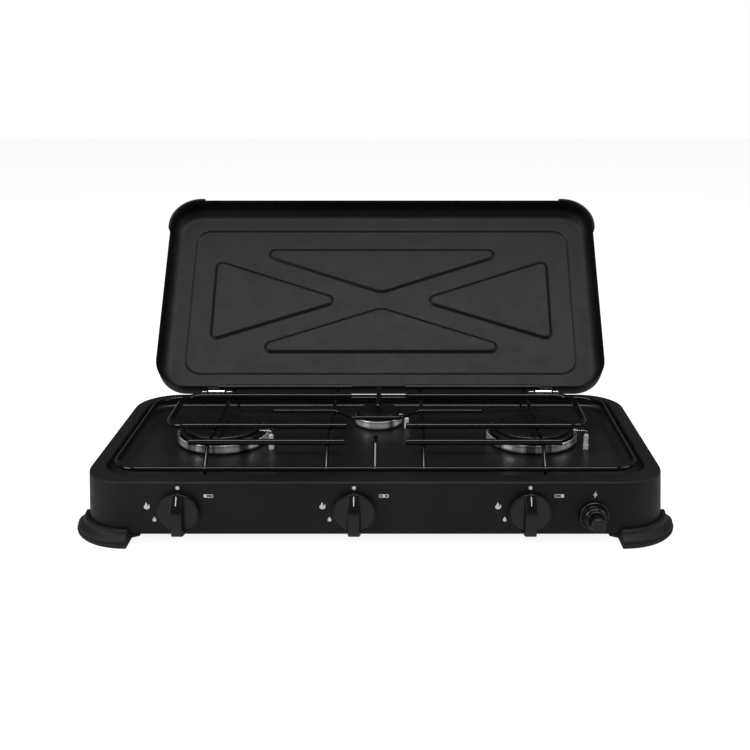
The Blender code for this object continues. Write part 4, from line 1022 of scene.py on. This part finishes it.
# ---------------------------------------------------------------- spark electrodes
# A glazed white ceramic stands up through the tray beside each burner, with a steel wire in it
# that bends over towards the ports. An insulated lead is pushed on underneath.
def make_electrode(name):
    low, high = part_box(f"electrode_ceramic_{name}")
    x = (low[0] + high[0]) / 2
    y = (low[1] + high[1]) / 2
    body = (high[0] - low[0]) / 2
    tall = high[2] - low[2]
    collar = TRAY_FLOOR - low[2]
    profile = [
        (0, 0), (body - 1.1 * MM, 0), (body - 1.0 * MM, 0.6 * MM),
        (body - 1.0 * MM, collar - 4 * MM), (body - 0.1 * MM, collar - 3.4 * MM),
        (body - 0.1 * MM, collar + 1 * MM),
    ]
    for rib in range(3):
        start = collar + (1.6 + rib * 1.5) * MM
        profile += [(body - 0.6 * MM, start), (body, start + 0.5 * MM), (body, start + 0.9 * MM)]
    profile += [
        (body - 0.5 * MM, collar + 6.2 * MM), (body - 0.4 * MM, tall - 3 * MM),
        (body - 0.9 * MM, tall - 0.8 * MM), (body - 1.6 * MM, tall), (0, tall),
    ]
    turned_piece(f"ceramic_{name}", quick_curve(profile, 3), 32, white_ceramic, "casing",
                 f"electrode_ceramic_{name}", Matrix.Translation((x, y, low[2])))
    tip_low, tip_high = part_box(f"electrode_tip_{name}")
    burner_x, burner_y, radius = BURNERS[name][:3]
    way = Vector((burner_x - x, burner_y - y, 0))
    reach = way.length - radius + 2.6 * MM
    way.normalize()
    start = Vector((x, y, tip_low[2] + 0.1 * MM))
    over = tip_high[2] - 1.0 * MM
    wire_path = bent_wire(
        (start, Vector((x, y, over)), Vector((x, y, over - 1.6 * MM)) + way * reach), 2.2 * MM,
    )
    mesh = bmesh.new()
    draw_wire(mesh, wire_path, 0.85 * MM, sides=12, tip=0.2 * MM)
    finish_piece(f"spark_wire_{name}", mesh, zinc, "casing", f"electrode_tip_{name}")


white_ceramic = coating(
    "white_ceramic", (0.74, 0.73, 0.69), 0.24, 700, 0.05 * MM, coat=0.5, tone=0.06,
)
lead_silicone = coating("lead_silicone", (0.22, 0.012, 0.012), 0.5, 900, 0.05 * MM)
for name in BURNERS:
    make_electrode(name)
    coat_node(f"ignition_lead_{name}", lead_silicone)


# ---------------------------------------------------------------- knobs
# Moulded black knobs: a round skirt with a fine raised edge, and a tapered grip across it. The
# grip ramps down to its pointer at the top, where a short white line is printed.
knob_black = coating(
    "knob_black", (0.0036, 0.0038, 0.0041), 0.24, 1700, 0.03 * MM, spread=0.04, gloss=0.5,
)
pointer_white = coating(
    "pointer_white", (0.80, 0.80, 0.79), 0.45, 1800, 0.02 * MM, tone=0.06,
)


GRIP_FOOT = 1.6 * MM
GRIP_HALF_FOOT = 8.2 * MM
GRIP_HALF_CREST = 5.9 * MM
RAMP_START = 0.5 * MM


def ramp_fall(top, share):
    """How far the grip has run down from its crest, at a share of its ramp."""
    return (top - 5.2 * MM) * share ** 1.7


def make_knob(name):
    low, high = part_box(f"knob_{name}")
    x, z = KNOB_PLACES[name]
    edge = (high[0] - low[0]) / 2
    ramp_run = edge - 3.0 * MM
    top = high[1] - low[1]
    at = facing_front(x, high[1], z)
    mesh = bmesh.new()
    profile = (
        (0, 0), (edge - 0.7 * MM, 0), (edge - 0.1 * MM, 0.5 * MM), (edge, 1.2 * MM),
        (edge - 0.1 * MM, 3.3 * MM), (edge - 0.5 * MM, 4.0 * MM), (edge - 1.0 * MM, 4.2 * MM),
        (edge - 1.5 * MM, 4.0 * MM), (edge - 1.9 * MM, 3.5 * MM), (edge - 3.4 * MM, 3.2 * MM),
        (edge * 0.6, 3.0 * MM), (0, 3.0 * MM),
    )
    lathe(mesh, quick_curve(profile), 96)
    grip_side = [
        (-edge + 1.3 * MM, GRIP_FOOT), (-edge + 0.5 * MM, 3.4 * MM),
        (-edge + 0.4 * MM, top - 4.2 * MM), (-edge + 1.0 * MM, top - 1.8 * MM),
        (-edge + 2.6 * MM, top - 0.4 * MM), (-edge + 5.0 * MM, top), (-2.0 * MM, top),
        (RAMP_START, top - 0.5 * MM),
    ]
    for step in range(1, 9):
        share = step / 8
        up = RAMP_START + ramp_run * share
        grip_side.append((up, top - 0.5 * MM - ramp_fall(top, share)))
    grip_side.append((edge - 1.2 * MM, 3.9 * MM))
    grip_side.append((edge - 1.3 * MM, GRIP_FOOT))
    outline = [mesh.verts.new((0, up, out)) for up, out in grip_side]
    face = mesh.faces.new(outline)
    grown = bmesh.ops.extrude_face_region(mesh, geom=[face])
    far = [item for item in grown["geom"] if isinstance(item, bmesh.types.BMVert)]
    for verts, sign in ((outline, -1), (far, 1)):
        for vert in verts:
            share = max(0, min(1, (vert.co.z - GRIP_FOOT) / (top - GRIP_FOOT)))
            narrow = 1 - 0.22 * max(0, vert.co.y / edge) ** 2
            half = GRIP_HALF_FOOT + (GRIP_HALF_CREST - GRIP_HALF_FOOT) * share
            vert.co.x = sign * half * narrow
    grip = set(outline + far)
    above_skirt = 3.2 * MM
    lines = [
        line for line in mesh.edges
        if len(line.link_faces) == 2 and line.calc_face_angle(0) > 0.6
        and all(vert in grip and vert.co.z > above_skirt for vert in line.verts)
    ]
    bmesh.ops.bevel(
        mesh, geom=lines, offset=0.9 * MM, segments=3, profile=0.5, affect="EDGES",
        material=-1, clamp_overlap=True,
    )
    finish_piece(f"dial_{name}", mesh, knob_black, f"knob_{name}", f"knob_{name}", at=at,
                 sharp=34)
    mark = bmesh.new()
    line = bmesh.ops.create_grid(mark, x_segments=1, y_segments=12, size=0.5)
    bmesh.ops.scale(mark, verts=line["verts"], vec=(1.0 * MM, 8.6 * MM, 1))
    for vert in line["verts"]:
        up = edge - 6.8 * MM + vert.co.y
        share = max(0, min(1, (up - RAMP_START) / ramp_run))
        vert.co.y = up + 0.15 * MM
        vert.co.z = top - 0.5 * MM - ramp_fall(top, share) + 0.18 * MM
    finish_piece(f"pointer_{name}", mark, pointer_white, f"knob_{name}", at=at)


for name in BURNERS:
    make_knob(name)
    coat_node(f"valve_spindle_{name}", zinc)
    coat_node(f"spindle_collar_{name}", zinc)


# ---------------------------------------------------------------- igniter
# The push igniter: a stepped glossy bezel nutted to the front wall, and a round button on a
# spring that strikes the piezo unit behind the wall.
igniter_gloss = coating(
    "igniter_gloss", (0.0040, 0.0041, 0.0044), 0.16, 900, 0.03 * MM, spread=0.03, gloss=0.5,
)
button_satin = coating("button_satin", (0.0055, 0.0056, 0.0060), 0.32, 1600, 0.04 * MM)


def make_igniter():
    low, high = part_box("igniter_bezel")
    x = (low[0] + high[0]) / 2
    z = (low[2] + high[2]) / 2
    wide = (high[0] - low[0]) / 2
    reach = high[1] - low[1]
    at = facing_front(x, high[1], z)
    bore = 8.75 * MM
    step = 12.5 * MM
    profile = (
        (bore, 0), (wide - 0.8 * MM, 0), (wide, 0.9 * MM), (wide, 3.3 * MM),
        (wide - 0.9 * MM, 4.8 * MM), (wide - 2.4 * MM, 5.4 * MM), (wide - 3.2 * MM, 4.6 * MM),
        (step + 0.6 * MM, 4.4 * MM), (step - 0.2 * MM, 5.4 * MM), (step, 7.4 * MM),
        (step - 0.2 * MM, 9.6 * MM), (step - 1.5 * MM, 10.8 * MM), (step - 1.7 * MM, 11.6 * MM),
        (step - 0.9 * MM, 12.4 * MM), (step - 0.8 * MM, reach - 1.6 * MM),
        (step - 1.6 * MM, reach - 0.3 * MM), (step - 2.6 * MM, reach), (bore + 0.3 * MM, reach),
        (bore, reach - 0.5 * MM), (bore, 0),
    )
    turned_piece("igniter_surround", quick_curve(profile), 72, igniter_gloss, "casing",
                 "igniter_bezel", at)
    low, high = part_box("igniter_button")
    wide = (high[0] - low[0]) / 2
    reach = high[1] - low[1]
    at = facing_front(x, high[1], z)
    hollow = 6.2 * MM
    profile = (
        (0, reach - 8 * MM), (hollow, reach - 8 * MM), (hollow, 0), (wide - 0.3 * MM, 0),
        (wide, 0.5 * MM), (wide, reach - 3.4 * MM), (wide - 0.5 * MM, reach - 2.9 * MM),
        (wide - 0.5 * MM, reach - 2.4 * MM), (wide - 0.1 * MM, reach - 2.0 * MM),
        (wide - 0.2 * MM, reach - 1.0 * MM), (wide - 1.0 * MM, reach - 0.2 * MM),
        (wide - 1.8 * MM, reach), (wide - 2.4 * MM, reach - 0.3 * MM),
        (wide * 0.4, reach - 0.7 * MM), (0, reach - 0.8 * MM),
    )
    turned_piece("push_button", quick_curve(profile), 64, button_satin, "igniter_button",
                 "igniter_button", at)


make_igniter()
coat_node("igniter_spring", zinc)
coat_node("igniter_body", knob_black)


# ---------------------------------------------------------------- gas train
# Out of sight under the tray: brass valves on a zinc-plated rail, and a pressed steel mixing
# tube from each jet to its burner. The turned brass hose nozzle comes out at the back.
turned_brass = coating(
    "turned_brass", (0.56, 0.41, 0.17), 0.27, 1500, 0.04 * MM, metallic=1.0, tone=0.15,
)
pressed_steel = coating(
    "pressed_steel", (0.52, 0.52, 0.53), 0.36, 900, 0.05 * MM, metallic=1.0, tone=0.15,
)
for name in BURNERS:
    coat_node(f"gas_valve_{name}", turned_brass)
    coat_node(f"burner_tube_{name}", pressed_steel)
coat_node("gas_rail", pressed_steel)


def make_hose_nozzle():
    low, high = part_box("gas_inlet")
    x = (low[0] + high[0]) / 2
    z = (low[2] + high[2]) / 2
    long = high[1] - low[1]
    pipe = (high[0] - low[0]) / 2 - 0.2 * MM
    hose = 4.5 * MM
    wall = REAR_WALL - low[1]
    bore, bore_depth = 2.4 * MM, 12 * MM
    profile = [
        (0, 0), (pipe, 0), (pipe, wall - 8 * MM), (hose + 1.3 * MM, wall - 6 * MM),
        (hose + 1.3 * MM, wall + 5.6 * MM), (hose, wall + 6 * MM),
    ]
    for barb in range(4):
        start = wall + (8 + barb * 4.6) * MM
        profile += [
            (hose - 0.4 * MM, start), (hose + 0.9 * MM, start + 0.5 * MM),
            (hose - 0.4 * MM, start + 4.2 * MM),
        ]
    profile += [
        (hose - 0.6 * MM, long - 0.6 * MM), (hose - 1.1 * MM, long), (2.6 * MM, long),
        (bore, long - 0.4 * MM), (bore, long - bore_depth), (0, long - bore_depth),
    ]
    at = Matrix.Translation((x, low[1], z)) @ Matrix.Rotation(-math.pi / 2, 4, "X")
    turned_piece("hose_nozzle", profile, 48, turned_brass, "casing", "gas_inlet", at)


make_hose_nozzle()
